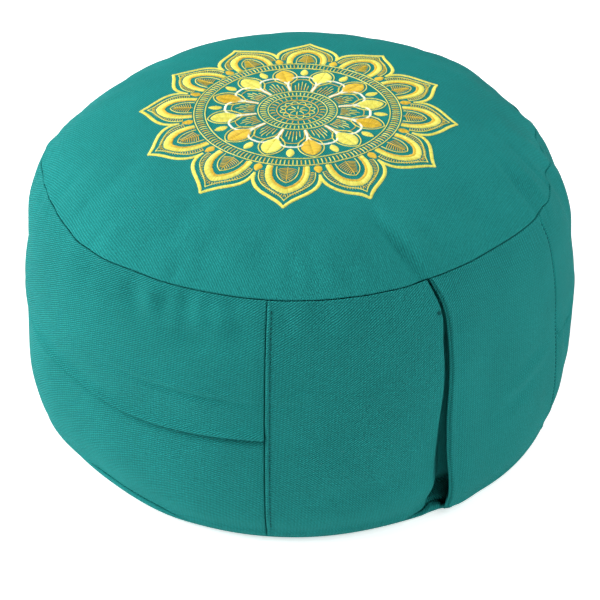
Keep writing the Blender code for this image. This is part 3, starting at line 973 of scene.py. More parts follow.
def upper_lip(azimuth, share):
    """The upper strip's lower edge stands a little proud of the strip under it."""
    away = (level_seam(azimuth) - share) * WALL_ARC
    aside = np.abs(turn_between(azimuth, LIP_MIDDLE))
    lip = LEVEL_LIP * (LIP_LEAST + (1.0 - LIP_LEAST) * (1.0 - smooth(24.0, 50.0, aside)))
    edge, slope = 1.0 - smooth(1.8 * MM, 4.0 * MM, away), 1.0 - smooth(3.0 * MM, 9.0 * MM, away)
    return -lip * (0.55 * edge + 0.45 * slope)


def lower_start(azimuth, share):
    """The lower strip starts sunk under that edge."""
    away = (share - level_seam(azimuth)) * WALL_ARC
    return LEVEL_SUNK * (1.0 - smooth(0.5 * MM, 5.0 * MM, away))


columns, column_depths = strip_columns()
seam_line = level_seam(columns)
upper_cloth = wall_cloth("upper_cloth", 0.0 * columns, seam_line, columns, column_depths, upper_lip)
lower_cloth = wall_cloth("lower_cloth", seam_line, wall_foot(columns), columns, column_depths, lower_start)
thicken(upper_cloth)
thicken(lower_cloth)

# %% [markdown]
# ### The front panel and the lap
#
# Both short panels have one edge that is folded under and stitched down from the outside, which
# leaves a narrow raised welt beside the seam. The lap's other edge is a real hem: the cloth
# goes round a small fold and comes back underneath. The front panel runs on below it and dips,
# most of all near the floor, where the lap gapes and leaves a dark mouth.

# %% The welt beside a stitched edge, and the dip under the lap
WELT_RISE = 0.75 * MM
STITCH_LINE = 2.9 * MM
STITCH_GROOVE = 0.30 * MM
GROOVE_WIDTH = 0.75 * MM
TUCK_DEPTH = 4.1 * MM
MOUTH_DEPTH = 12.5 * MM
MOUTH_SHOULDER = 0.24
LAP_LIFT = 1.5 * MM
HEM_RUN = 12.0 * MM


def welt(away):
    """Depth of a welt's face at a distance from its seam: negative where it stands proud."""
    raised = smooth(0.3 * MM, 1.3 * MM, away) * (1.0 - smooth(STITCH_LINE - 1.1 * MM, STITCH_LINE, away))
    groove = np.exp(-(((away - STITCH_LINE) / GROOVE_WIDTH) ** 2))
    return STITCH_GROOVE * groove - WELT_RISE * raised


def mouth(share):
    """How far the lap gapes: shut above the bar tack, and wide open near the floor."""
    below_tack, lower_down = smooth(0.12, 0.24, share), smooth(0.38, 0.84, share)
    return 0.16 * below_tack + 0.54 * lower_down + 0.30 * smooth(0.84, 0.97, share)


def underlap(azimuth, share, ease=0.0):
    """How far the front panel dips to pass under the lap."""
    past = azimuth - lap_edge(share)
    gape = mouth(share)
    start, end = -1.0 - 3.6 * gape - ease, 0.1 + 1.0 * gape - ease
    dip = TUCK_DEPTH + MOUTH_DEPTH * gape
    shoulder = MOUTH_SHOULDER * gape * smooth(start - 5.0, start + 2.5, past)
    fall = shoulder + (1.0 - MOUTH_SHOULDER * gape) * smooth(start, end, past)
    return dip * fall * (1.0 - smooth(8.5 + ease, 13.0 + ease, past))


def lap_lift(azimuth, share):
    """How far the lap's free edge stands off, most of all near the floor. Outwards is negative."""
    past = azimuth - lap_edge(share)
    held = smooth(0.0, 0.07, share) * (1.0 - 0.7 * smooth(0.985, 1.03, share))
    lift = LAP_LIFT * (1.0 + 1.2 * smooth(0.60, 0.95, share))
    return -lift * (1.0 - smooth(2.0, 11.0, past)) * held


# %% Front panel
WELT_COLUMNS = np.array([0.9, 1.6, 2.1, 2.5, 2.9, 3.3, 3.8, 4.6, 5.6, SHOULDER_RUN]) * MM


def stitched_edge():
    """As the sewn edge, with columns close enough together for the welt."""
    turned = EDGE_AWAY < 0.8 * MM
    away = np.concatenate([EDGE_AWAY[turned], WELT_COLUMNS])
    depth = np.interp(away, EDGE_AWAY, EDGE_DEPTH)
    depth[: turned.sum()] = EDGE_DEPTH[turned]
    return away, depth + welt(away) * (away > 0.3 * MM)


WELT_AWAY, WELT_DEPTH = stitched_edge()
front_start = FRONT_SEAM + degrees_of(EDGE_RUN) + COLUMN_STEP
stretches = ((front_start, 20.0, COLUMN_STEP), (20.0, 24.0, 0.5), (24.0, 32.0, 0.25), (32.0, 37.1, 0.5))
front_middle = np.concatenate([np.arange(*stretch) for stretch in stretches])
front_columns = np.concatenate([FRONT_SEAM + degrees_of(WELT_AWAY), front_middle])
front_depths = np.concatenate([WELT_DEPTH, 0.0 * front_middle])
front_top, front_foot = 0.0 * front_columns, wall_foot(front_columns)
front_cloth = wall_cloth("front_cloth", front_top, front_foot, front_columns, front_depths, underlap)
thicken(front_cloth)

# %% Lap panel
# The doubled edge in section: distance from the edge and depth, in millimetres, from the hem's
# underside round the facing's fold, up a groove and over the outer cloth's fold to the face.
LAP_SECTION = (
    (12.0, 3.4), (9.5, 3.4), (7.0, 3.4), (5.0, 3.4), (3.4, 3.4), (2.0, 3.4), (1.2, 3.4),
    (0.70, 3.32), (0.30, 3.05), (0.06, 2.70), (0.0, 2.35), (0.08, 2.00), (0.34, 1.72), (0.72, 1.60),
    (1.10, 1.60), (1.28, 1.52), (1.30, 1.32), (1.28, 1.00), (1.36, 0.66), (1.58, 0.34),
    (1.92, 0.12), (2.35, 0.02), (2.9, 0.0), (3.6, 0.06), (4.4, 0.18), (5.2, 0.26), (6.2, 0.26),
    (7.4, 0.20), (9.0, 0.0),
)
LAP_COLUMNS = 25
hem_away, hem_depth = (np.array(LAP_SECTION) * MM).T


def lap_columns(share):
    """Azimuths across the lap at one height: hem, fold, face and the welt at the right seam."""
    start = lap_edge(share)
    first = start + degrees_of(hem_away[-1])
    last = RIGHT_SEAM - degrees_of(WELT_AWAY[-1])
    middle = np.linspace(first, last, LAP_COLUMNS + 2)[1:-1]
    return np.concatenate([start + degrees_of(hem_away), middle, RIGHT_SEAM - degrees_of(WELT_AWAY[::-1])])


lap_depths = np.concatenate([hem_depth, np.zeros(LAP_COLUMNS), WELT_DEPTH[::-1]])
lap_top, lap_foot = 0.0 * lap_depths, wall_foot(lap_columns(1.0))
lap_cloth = wall_cloth("lap_cloth", lap_top, lap_foot, lap_columns, lap_depths, lap_lift)
thicken(lap_cloth)

# %% [markdown]
# ### The stuffed body
#
# Under the cloth is the stuffing, one closed form that pulls in at every seam. It fills the
# sheets, so light can't shine through a seam, and it carries the weight of the cushion.

# %% Stuffed body
BODY_ZONES = (
    ("crown", np.linspace(0.03, 0.995, 38)),
    ("wall", np.linspace(0.005, 0.995, 44)),
    ("base", np.linspace(0.08, 0.95, 6)),
)
BODY_AZIMUTHS = np.arange(0.0, 360.0, 2.0)
BODY_EASE = 0.6 * MM
CHANNEL_DEPTH = 3.2 * MM
CHANNEL_START = 0.6 * MM
CHANNEL_RUN = 7.0 * MM
DIP_NUDGES = (-1.5, 0.0, 1.5)
DIP_EASE = 1.0
DIP_SPARE = 1.05


def channel(away):
    """How far a sewn channel draws the stuffing in, at a distance from the seam."""
    return CHANNEL_DEPTH * (1.0 - smooth(CHANNEL_START, CHANNEL_RUN, np.abs(away)))


def body_depth(azimuth, zone, share):
    """Depth of the stuffing under the outline."""
    depth = CLOTH + CLEARANCE + BODY_EASE + 0.0 * (azimuth + share)
    if zone == "crown":
        return depth + channel((1.0 - share) * CROWN_ARC)
    if zone == "base":
        return depth + channel(share * CURL_ARC - seam_drop(azimuth)) + rim_pull(azimuth, share)
    across = [WALL_RADIUS * np.radians(turn_between(azimuth, seam)) for seam in (FRONT_SEAM, RIGHT_SEAM)]
    seams = [share * WALL_ARC, (1.0 - share) * WALL_ARC, *across]
    behind = (azimuth > RIGHT_SEAM) & (azimuth < FRONT_SEAM + 360.0)
    seams.append(np.where(behind, (share - level_seam(azimuth)) * WALL_ARC, 1.0))
    pulled = np.max(np.stack([channel(away) for away in np.broadcast_arrays(*seams)]), axis=0)
    dips = [underlap(azimuth + nudge, share, DIP_EASE) for nudge in DIP_NUDGES]
    return depth + pulled + np.max(np.stack(dips), axis=0) * DIP_SPARE


rings = rings_of(BODY_ZONES, BODY_AZIMUTHS, body_depth)
rings[..., 2] = np.maximum(rings[..., 2], CLOTH + CLEARANCE)
crown_middle = (0.0, 0.0, float(rings[0, :, 2].mean()))
floor_middle = (0.0, 0.0, CLOTH + CLEARANCE)
stuffing = sheet_mesh("stuffing", rings, rings[..., :2], wall_twill, True, crown_middle, floor_middle)
print("stuffing:", len(stuffing.data.polygons), "faces")

# %% [markdown]
# ## Stitches
#
# A stitch is one short thread that comes up through the cloth, lies on it in a low arch and goes
# down again. One Geometry Nodes tree makes all of them: it is given a mesh of loose edges, one
# for each stitch, drops every edge on the cloth along its own direction, bends it into an arch
# and gives it a round section. Sewing and embroidery differ only in where the edges are.

# %% A Geometry Nodes tree in the making
class Tree:
    """A node group with named inputs, built node by node."""

    def __init__(self, name, inputs):
        self.group = bpy.data.node_groups.new(name, "GeometryNodeTree")
        face = self.group.interface
        face.new_socket(name="Geometry", in_out="OUTPUT", socket_type="NodeSocketGeometry")
        self.identifiers = {
            label: face.new_socket(name=label, in_out="INPUT", socket_type=kind).identifier
            for label, kind in inputs.items()
        }
        self.given = self.group.nodes.new("NodeGroupInput").outputs

    def node(self, kind, settings=(), values=(), output=0):
        """Any node: its settings first, then what its sockets hold."""
        made = self.group.nodes.new(kind)
        for name, value in dict(settings).items():
            setattr(made, name, value)
        for key, value in dict(values).items():
            if isinstance(value, bpy.types.NodeSocket):
                self.group.links.new(value, made.inputs[key])
            else:
                made.inputs[key].default_value = value
        return made.outputs[output]

    def math(self, operation, first, second=0.0):
        """A Math node on one or two numbers."""
        return self.node("ShaderNodeMath", {"operation": operation}, {0: first, 1: second})

    def vector(self, operation, first, second, scale=None):
        """A Vector Math node on two vectors, or on one vector and a scale."""
        values = {0: first, 1: second} if scale is None else {0: first, 3: scale}
        return self.node("ShaderNodeVectorMath", {"operation": operation}, values)

    def attribute(self, name, kind="FLOAT"):
        """What the mesh of loose edges carries under a name."""
        return self.node("GeometryNodeInputNamedAttribute", {"data_type": kind}, {"Name": name})

    def finish(self, geometry):
        """Send the result out of the tree."""
        out = self.group.nodes.new("NodeGroupOutput")
        self.group.links.new(geometry, out.inputs[0])


# %% The stitch tree
THREAD_POINTS = 5
THREAD_SIDES = 4
THREAD_TAPER = 0.3
ARCH_POWER = 4.0
DROP = 6.0 * MM


def stitch_tree():
    """Loose edges in, round threads on the cloth out."""
    tree = Tree(
        "stitches",
        {
            "Stitches": "NodeSocketGeometry",
            "Cloth": "NodeSocketObject",
            "Thread": "NodeSocketMaterial",
            "Points": "NodeSocketInt",
            "Sides": "NodeSocketInt",
            "Drop": "NodeSocketFloat",
        },
    )
    given = tree.given
    threads = tree.node("GeometryNodeMeshToCurve", {}, {0: given["Stitches"]})
    threads = tree.node("GeometryNodeResampleCurve", {}, {"Curve": threads, "Count": given["Points"]})
    along = tree.node("GeometryNodeSplineParameter")
    off_middle = tree.math("ABSOLUTE", tree.math("SUBTRACT", tree.math("MULTIPLY", along, 2.0), 1.0))
    arch = tree.math("SUBTRACT", 1.0, tree.math("POWER", off_middle, ARCH_POWER))
    up = tree.attribute("up", "FLOAT_VECTOR")
    place = tree.node("GeometryNodeInputPosition")
    start = tree.vector("ADD", place, tree.vector("SCALE", up, None, given["Drop"]))
    cloth = tree.node("GeometryNodeObjectInfo", {}, {"Object": given["Cloth"]}, "Geometry")
    ray = {
        "Target Geometry": cloth,
        "Source Position": start,
        "Ray Direction": tree.vector("SCALE", up, None, -1.0),
        "Ray Length": tree.math("MULTIPLY", given["Drop"], 2.0),
    }
    landed = tree.node("GeometryNodeRaycast", {}, ray, "Hit Position")
    hit = tree.node("GeometryNodeRaycast", {}, ray, "Is Hit")
    foot = tree.node("GeometryNodeSwitch", {"input_type": "VECTOR"}, {0: hit, 1: place, 2: landed})
    rise = tree.math("MULTIPLY", tree.attribute("rise"), arch)
    height = tree.math("ADD", tree.attribute("lift"), rise)
    where = tree.vector("ADD", foot, tree.vector("SCALE", up, None, height))
    threads = tree.node("GeometryNodeSetPosition", {}, {"Geometry": threads, "Position": where})
    swell = tree.math("ADD", tree.math("MULTIPLY", arch, THREAD_TAPER), 1.0 - THREAD_TAPER)
    girth = tree.math("MULTIPLY", tree.attribute("girth"), swell)
    section = {"Resolution": given["Sides"], "Radius": 1.0}
    section = tree.node("GeometryNodeCurvePrimitiveCircle", {}, section)
    tube = {"Curve": threads, "Profile Curve": section, "Scale": girth}
    mesh = tree.node("GeometryNodeCurveToMesh", {}, tube)
    mesh = tree.node("GeometryNodeSetShadeSmooth", {}, {"Geometry": mesh})
    mesh = tree.node("GeometryNodeRealizeInstances", {}, {"Geometry": mesh})
    mesh = tree.node("GeometryNodeSetMaterial", {}, {"Geometry": mesh, "Material": given["Thread"]})
    tree.finish(mesh)
    return tree


stitching = stitch_tree()

# %% Laying stitches on a cloth
# A stitch's girth is half its thread's thickness. It lies lift above the cloth at its ends and
# rise higher in the middle, and tone, from 0 to 1, shifts its colour.
Stitch = namedtuple("Stitch", "start end up girth rise lift tone")


def lay(name, stitches, cloth, thread):
    """One piece of thread for a list of stitches, dropped on a cloth."""
    ends = np.array([place for stitch in stitches for place in (stitch.start, stitch.end)])
    edges = [(2 * number, 2 * number + 1) for number in range(len(stitches))]
    mesh = bpy.data.meshes.new(name)
    mesh.from_pydata(ends.tolist(), edges, [])
    for field in ("girth", "rise", "lift", "tone"):
        values = np.repeat([getattr(stitch, field) for stitch in stitches], 2)
        layer = mesh.attributes.new(field, "FLOAT", "POINT")
        layer.data.foreach_set("value", values.astype(np.float32))
    up = np.repeat(np.array([stitch.up for stitch in stitches]), 2, axis=0)
    mesh.attributes.new("up", "FLOAT_VECTOR", "POINT")
    mesh.attributes["up"].data.foreach_set("vector", up.astype(np.float32).ravel())
    piece = bpy.data.objects.new(name, mesh)
    bpy.context.scene.collection.objects.link(piece)
    made = piece.modifiers.new("stitches", "NODES")
    made.node_group = stitching.group
    given = {"Cloth": cloth, "Thread": thread, "Points": THREAD_POINTS, "Sides": THREAD_SIDES, "Drop": DROP}
    for label, value in given.items():
        made[stitching.identifiers[label]] = value
    settle(piece)
    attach(piece, "root")
    print(name, len(stitches), "stitches,", len(piece.data.polygons), "faces")
    return piece


# %% [markdown]
# ### Thread
#
# Embroidery thread is glossy rayon or polyester; sewing thread is duller. Each stitch has a
# number of its own, which shifts its colour a little, because real threads catch the light one
# by one.

# %% Thread finish
FIBRE_SCALE = 2400.0
FIBRE_BUMP = 0.06 * MM


def thread_finish(name, light, dark, roughness, sheen, specular=0.5):
    """Thread whose colour runs from dark to light with the stitch's tone and with its fibres."""
    finish = Finish(name, roughness, Specular_IOR_Level=specular, Sheen_Weight=sheen, Sheen_Roughness=0.3)
    tone = finish.node("ShaderNodeAttribute", {"attribute_name": "tone"}, {}, "Fac")
    place = finish.node("ShaderNodeTexCoord", {}, {}, "Object")
    fibre = finish.noise(place, FIBRE_SCALE)
    mixed = (tone * 0.75 + fibre * 0.5 - 0.12).held()
    finish.feed("Base Color", finish.mix(mixed, dark, light))
    finish.bump(fibre, FIBRE_BUMP)
    return finish.material


lemon_thread = thread_finish("lemon_thread", (0.94, 0.92, 0.22, 1.0), (0.76, 0.68, 0.06, 1.0), 0.42, 0.1)
gold_thread = thread_finish("gold_thread", (0.92, 0.66, 0.05, 1.0), (0.62, 0.40, 0.02, 1.0), 0.42, 0.1)
silver_thread = thread_finish("silver_thread", (1.0, 1.0, 0.86, 1.0), (0.80, 0.84, 0.62, 1.0), 0.38, 0.1)
# The sewing thread's teal is painted far darker than the cloth's, as shade for the shadowed needle holes
# between stitches.
SEWING_SHADED_LIGHT, SEWING_SHADED_DARK = (0.010, 0.15, 0.145, 1.0), (0.004, 0.07, 0.07, 1.0)
sewing_thread = thread_finish("sewing_thread", SEWING_SHADED_LIGHT, SEWING_SHADED_DARK, 0.8, 0.0, 0.1)
print("threads:", lemon_thread.name, gold_thread.name, silver_thread.name, sewing_thread.name)

# %% [markdown]
# ### Sewing on the wall
#
# A top-stitch runs down beside the front seam and another beside the right seam. Both are laid
# by the same rule: a stitch every few millimetres down a line at a fixed distance from the seam.

# %% Sewing stitches
STITCH_PITCH = 2.9 * MM
STITCH_LENGTH = 1.9 * MM
STITCH_WANDER = 0.02
SEWN_FROM, SEWN_TO = 0.03, 0.97
SEWING_GIRTH = 0.36 * MM
SEWING_RISE = 0.34 * MM
SEWING_LIFT = -0.22 * MM
OVER_CLOTH = -0.2 * MM


def seam_stitches(line, seed):
    """Stitches down the wall along one azimuth, each a little off it."""
    chance = np.random.default_rng(seed)
    found = []
    for number in range(int((SEWN_TO - SEWN_FROM) * WALL_ARC / STITCH_PITCH)):
        share = SEWN_FROM + (number + 0.5) * STITCH_PITCH / WALL_ARC
        shares = share + np.array([-0.5, 0.5]) * STITCH_LENGTH / WALL_ARC
        azimuths = line + chance.normal(0.0, STITCH_WANDER, 2)
        start, end = spot(azimuths, "wall", shares, OVER_CLOTH)
        along, up = outward(azimuths[:1], "wall", shares[:1])
        turn = math.radians(azimuths[0])
        towards = (along[0] * math.sin(turn), -along[0] * math.cos(turn), up[0])
        tone = chance.uniform(0, 1)
        found.append(Stitch(start, end, towards, SEWING_GIRTH, SEWING_RISE, SEWING_LIFT, tone))
    return found


front_line = FRONT_SEAM + degrees_of(STITCH_LINE)
right_line = RIGHT_SEAM - degrees_of(STITCH_LINE)
front_sewing = lay("front_topstitch", seam_stitches(front_line, 1), front_cloth, sewing_thread)
right_sewing = lay("right_topstitch", seam_stitches(right_line, 2), lap_cloth, sewing_thread)

# %% The bar tack at the top of the opening
TACK_SHARE = 0.118
TACK_STITCHES = 5
TACK_PITCH = 0.40 * MM
TACK_LIFT = -0.12 * MM
TACK_ENDS = np.array([-1.8, -0.8])


def tack_stitches():
    """A few short stitches side by side, just left of the lap's edge."""
    found = []
    for number in range(TACK_STITCHES):
        share = TACK_SHARE + (number - TACK_STITCHES // 2) * TACK_PITCH / WALL_ARC
        edge = lap_edge(share)
        start, end = spot(edge + TACK_ENDS, "wall", np.array([share, share]), OVER_CLOTH)
        turn = math.radians(edge)
        towards = (math.sin(turn), -math.cos(turn), 0.0)
        found.append(Stitch(start, end, towards, SEWING_GIRTH, SEWING_RISE, TACK_LIFT, 0.5))
    return found


bar_tack = lay("bar_tack", tack_stitches(), front_cloth, sewing_thread)

# %% [markdown]
# ### Embroidery
#
# The top carries a machine-embroidered rosette. This one is a plain twelve-petalled lotus of the
# traditional kind, drawn here with a ruler's rules: petals, leaves, rings, ticks and seeds.
# Machine embroidery has few stitches: satin, which zigzags between two lines until they are
# filled, and running stitch, which follows one line. Each is a small function over a path, and
# every number is in millimetres from the lotus's middle, or in degrees round it.

# %% Paths on the top, in millimetres and degrees
LOTUS_MIDDLE = (0.0, -14.6)
LOTUS_TURN = 4.8
PETALS = 12
STEP = 360.0 / PETALS
SATIN_PITCH = 0.46
THREAD_GIRTH = 0.29


def polar(angle, radius):
    """A point at an angle, clockwise from the back, and a distance from the middle."""
    turn = np.radians(angle)
    return np.stack([radius * np.sin(turn), radius * np.cos(turn)], axis=-1)


def curve(start, first, second, end, count=40):
    """A cubic curve through four corner points."""
    t = np.linspace(0.0, 1.0, count)[:, None]
    corners = [np.asarray(point) for point in (start, first, second, end)]
    weights = ((1 - t) ** 3, 3 * t * (1 - t) ** 2, 3 * t * t * (1 - t), t**3)
    return sum(weight * corner for weight, corner in zip(weights, corners))


def mirrored(path):
    """The same path on the other side of the petal's middle line."""
    return path * np.array([-1.0, 1.0])


def both_sides(path):
    """A path and its mirrored twin."""
    return (path, mirrored(path))


def turned(path, angle):
    """The same path, turned clockwise round the middle."""
    turn = math.radians(angle)
    x, y = path[:, 0], path[:, 1]
    c, s = math.cos(turn), math.sin(turn)
    return np.stack([x * c + y * s, y * c - x * s], axis=-1)


def each_petal(path, offset=0.0):
    """The path, repeated round the lotus."""
    return [turned(path, offset + STEP * number) for number in range(PETALS)]


# %% Points along a path
def run_of(path):
    """Distance along a path, up to each of its points."""
    steps = np.linalg.norm(np.diff(path, axis=0), axis=1)
    return np.concatenate([[0.0], np.cumsum(steps)])


def evenly(path, count):
    """Evenly spaced points of a path, a given number of them."""
    run = run_of(path)
    at = np.linspace(0.0, run[-1], count)
    return np.stack([np.interp(at, run, path[:, axis]) for axis in (0, 1)], axis=-1)


def spaced(path, pitch):
    """Points along a path, a pitch apart, and the path's sideways direction at each."""
    points = evenly(path, max(2, round(run_of(path)[-1] / pitch) + 1))
    ahead = np.gradient(points, axis=0)
    ahead = ahead / np.maximum(np.linalg.norm(ahead, axis=1, keepdims=True), 1e-9)
    return points, np.stack([-ahead[:, 1], ahead[:, 0]], axis=-1)


# %% Stitches of the embroidery
SHORTEST = 0.3
RISE_LEAST, RISE_GROWTH, RISE_MOST = 0.16, 0.10, 0.42
threads = {"lemon": [], "gold": [], "silver": []}
needle = np.random.default_rng(21)


def thread(colour, start, end, girth=THREAD_GIRTH, lift=0.0):
    """One embroidery thread from start to end, both in the lotus's own millimetres."""
    start, end = np.asarray(start, float), np.asarray(end, float)
    length = float(np.linalg.norm(end - start))
    if length < SHORTEST:
        return
    threads[colour].append((start, end, girth, lift, min(RISE_MOST, RISE_LEAST + RISE_GROWTH * length)))


def satin(colour, one, other, pitch=SATIN_PITCH, lift=0.0, ragged=0.10):
    """Threads side by side between two paths."""
    count = max(3, int(max(run_of(one)[-1], run_of(other)[-1]) / pitch))
    for start, end in zip(evenly(one, count), evenly(other, count)):
        across = (end - start) / max(np.linalg.norm(end - start), 1e-9)
        start = start - across * needle.normal(0, ragged)
        end = end + across * needle.normal(0, ragged)
        thread(colour, start, end, lift=lift)


def ribbon(colour, path, width, taper=0.0, lift=0.0):
    """A satin band of one width along a path, narrower at its ends by taper."""
    points, sideways = spaced(path, SATIN_PITCH)
    at = np.linspace(0.0, 1.0, len(points))[:, None]
    half = 0.5 * width * (1.0 - taper * np.abs(2.0 * at - 1.0) ** 6)
    satin(colour, points + sideways * half, points - sideways * half, lift=lift, ragged=0.06)


def running(colour, path, pitch, girth):
    """Stitches end to end along a path, each a little over the next."""
    points, _ = spaced(path, pitch)
    for start, end in zip(points[:-1], points[1:]):
        ahead = (end - start) * 0.06
        thread(colour, start - ahead, end + ahead, girth)


def ring(radius, count=181):
    """A closed ring as a path."""
    return polar(np.linspace(0.0, 360.0, count), radius)


def spokes(colours, count, near, far, girth, first=0.0):
    """Threads like spokes between two rings, in the colours by turns."""
    for number in range(count):
        angle = 360.0 * (number + first) / count
        thread(colours[number % len(colours)], polar(angle, near), polar(angle, far), girth)


# %% Outer petals
def petal_side(valley, tip, waist, half=STEP / 2.0):
    """Half of a pointed petal, from the valley beside it up to its tip."""
    return curve(polar(half, valley), polar(half * 0.97, waist), polar(half * 0.26, waist), polar(0.0, tip))


for half in both_sides(petal_side(71.0, 95.0, 86.5)):
    for path in each_petal(half):
        ribbon("lemon", path, 2.0, taper=0.35, lift=0.05)
for half in both_sides(petal_side(68.5, 90.4, 82.5, half=13.2)):
    for path in each_petal(half):
        running("lemon", path, 1.8, 0.32)

# %% Nested bands in each petal
def pointed_arc(half, tip):
    """Half of an upright pointed arch inside a petal."""
    shoulder = polar(half, PETAL_FOOT + 0.70 * (tip - PETAL_FOOT))
    return curve(polar(half, PETAL_FOOT), shoulder, polar(half * 0.40, tip - 1.2), polar(0.0, tip))


PETAL_FOOT = 63.0
arches = [pointed_arc(*arch) for arch in ((10.9, 85.2), (8.6, 81.6), (7.7, 80.0), (5.6, 76.6))]
for side in (arches, [mirrored(arch) for arch in arches]):
    for turn in range(PETALS):
        outer, inner, edge, leaf = [turned(arch, STEP * turn) for arch in side]
        satin("lemon", outer, inner, lift=0.02)
        satin("gold", inner, edge, lift=0.02)
        running("lemon", leaf, 1.6, 0.30)

# %% Ticks round the bands, and a veined leaf under them
def ticks(path, pitch, near, far, first):
    """Short threads that stand out from a path, away from the petal's foot."""
    points, sideways = spaced(path, pitch)
    for point, across in list(zip(points, sideways))[int(first * len(points)) :]:
        away = across if across @ (point - polar(0.0, PETAL_FOOT + 3.0)) > 0.0 else -across
        tick = np.stack([point + away * near, point + away * far])
        for side in both_sides(tick):
            for copy in each_petal(side):
                thread("gold", *copy, 0.26)


ticks(arches[0], 1.35, 0.7, 2.6, 0.18)
midrib = polar(np.zeros(8), np.linspace(PETAL_FOOT, 75.0, 8))
for turn in range(PETALS):
    running("gold", turned(midrib, STEP * turn), 1.8, 0.28)
    for foot in np.arange(64.0, 73.0, 1.25):
        tip = polar(5.2 - 0.36 * (foot - PETAL_FOOT), foot + 1.8)
        for vein in both_sides(np.stack([polar(0.0, foot), tip])):
            thread("gold", *turned(vein, STEP * turn), 0.24)

# %% The ring of rays, and the seeds in the valleys
running("lemon", ring(61.6), 1.9, 0.34)
running("lemon", ring(55.0), 1.9, 0.34)
spokes(("gold", "lemon", "lemon"), 156, 56.2, 60.6, 0.34)
seed_side = curve(polar(0.0, 62.6), polar(3.6, 64.0), polar(2.0, 67.4), polar(0.0, 69.2))
for number in range(PETALS):
    angle = STEP * (number + 0.5)
    satin("gold", turned(seed_side, angle), turned(mirrored(seed_side), angle), 0.40, lift=0.05)

# %% The wreath of leaves
leaf_side = curve(polar(0.0, 33.0), polar(15.5, 39.5), polar(10.5, 51.6), polar(0.0, 54.0))
leaf_heart = curve(polar(0.0, 35.8), polar(12.0, 41.0), polar(8.0, 50.2), polar(0.0, 52.2))
bud_side = curve(polar(0.0, 45.4), polar(4.4, 47.4), polar(2.8, 51.8), polar(0.0, 53.4))
heart_line = polar(np.zeros(6), np.linspace(35.8, 52.2, 6))
for number in range(PETALS):
    angle = STEP * (number + 0.5)
    for side in both_sides(leaf_side):
        running("lemon", turned(side, angle), 1.5, 0.34)
    colour = "lemon" if number % 2 == 0 else "gold"
    for side in both_sides(leaf_heart):
        satin(colour, turned(side, angle), turned(heart_line, angle), lift=0.04)
    left, right = [turned(side, STEP * number) for side in both_sides(bud_side)]
    satin("lemon", left, right, 0.40, lift=0.04)

# %% The flower in the middle
inner_petal = curve(polar(15.0, 25.0), polar(17.2, 39.5), polar(7.6, 44.6), polar(0.0, 43.2))
inner_line = curve(polar(13.0, 25.0), polar(13.6, 36.5), polar(6.0, 40.6), polar(0.0, 39.4))
for path in both_sides(inner_petal):
    for copy in each_petal(path):
        ribbon("silver", copy, 1.25, lift=0.06)
for path in both_sides(inner_line):
    for copy in each_petal(path):
        running("gold", copy, 1.5, 0.26)
for number in range(PETALS):
    for off, reach in ((-7.4, 32.0), (-3.7, 35.2), (0.0, 37.2), (3.7, 35.2), (7.4, 32.0)):
        angle = STEP * number + off
        foot, joint, tip = polar(angle, 25.6), polar(angle, 0.5 * (25.6 + reach)), polar(angle, reach)
        thread("gold", foot, joint, 0.28)
        thread("lemon", joint, tip, 0.28)

# %% The rings at the heart
for radius, colour in ((23.6, "lemon"), (17.6, "lemon"), (12.4, "gold"), (7.4, "gold")):
    running(colour, ring(radius, 91), 1.5, 0.32)
spokes(("lemon",), 54, 18.8, 22.4, 0.34)
spokes(("gold",), 28, 13.4, 16.6, 0.32, first=0.5)
scallop = curve(polar(-15.0, 7.9), polar(-11.0, 11.8), polar(11.0, 11.8), polar(15.0, 7.9), 12)
for path in each_petal(scallop, 15.0):
    running("lemon", path, 1.1, 0.28)
spokes(("lemon",), 8, 1.6, 5.8, 0.34)
print({colour: len(found) for colour, found in threads.items()}, "threads drawn")

# %% The embroidery as three pieces of thread
TOP_SEAM_RADIUS = 0.157
SUNK = 0.10


def on_top(place):
    """From the lotus's own millimetres to metres on the cushion, above the top."""
    x, y = turned(place[None, :], LOTUS_TURN)[0]
    x, y = (LOTUS_MIDDLE[0] + x) * MM, (LOTUS_MIDDLE[1] + y) * MM
    share = min(0.99, math.hypot(x, y) / TOP_SEAM_RADIUS)
    return (x, y, TOP_SEAM_HEIGHT + CROWN_RISE * (1.0 - share**CROWN_POWER))


embroidery = {}
finishes = {"lemon": lemon_thread, "gold": gold_thread, "silver": silver_thread}
for colour, found in threads.items():
    stitches = []
    for start, end, girth, lift, rise in found:
        places = (on_top(start), on_top(end), (0.0, 0.0, 1.0))
        sizes = (girth * MM, rise * MM, (lift - SUNK) * MM)
        stitches.append(Stitch(*places, *sizes, float(needle.uniform(0.0, 1.0))))
    embroidery[colour] = lay(f"{colour}_embroidery", stitches, top_cloth, finishes[colour])

# %% [markdown]
# ## Which solid each piece stands for
#
# Each piece of cloth replaces its imported solid and says how big it was cut. The stuffing stands in for
# the filled body.

front_width = math.radians(front_columns[-1] - FRONT_SEAM) * WALL_RADIUS
lap_width = math.radians(RIGHT_SEAM - LAP_EDGE) * WALL_RADIUS + HEM_RUN
strip_width = math.radians(FRONT_SEAM + 360.0 - RIGHT_SEAM) * WALL_RADIUS
turned_in = 2.0 * TURN_REACH * MM
top_reach = CROWN_ARC + TURN_REACH * MM
base_reach = WALL_RADIUS + TURN_REACH * MM
upper_height = LEVEL_SEAM * WALL_ARC + turned_in
lower_height = (1.0 - LEVEL_SEAM) * WALL_ARC + turned_in
top_area, base_area = math.pi * top_reach**2, math.pi * base_reach**2
PIECES = (
    (top_cloth, "top_panel", (2 * top_reach, 2 * top_reach), top_area, list(embroidery.values())),
    (base_cloth, "base_panel", (2 * base_reach, 2 * base_reach), base_area, []),
    (upper_cloth, "upper_wall_strip", (strip_width, upper_height), None, []),
    (lower_cloth, "lower_wall_strip", (strip_width, lower_height), None, []),
    (front_cloth, "front_panel", (front_width, WALL_ARC + turned_in), None, [front_sewing, bar_tack]),
    (lap_cloth, "lap_panel", (lap_width, WALL_ARC + turned_in), None, [right_sewing]),
)
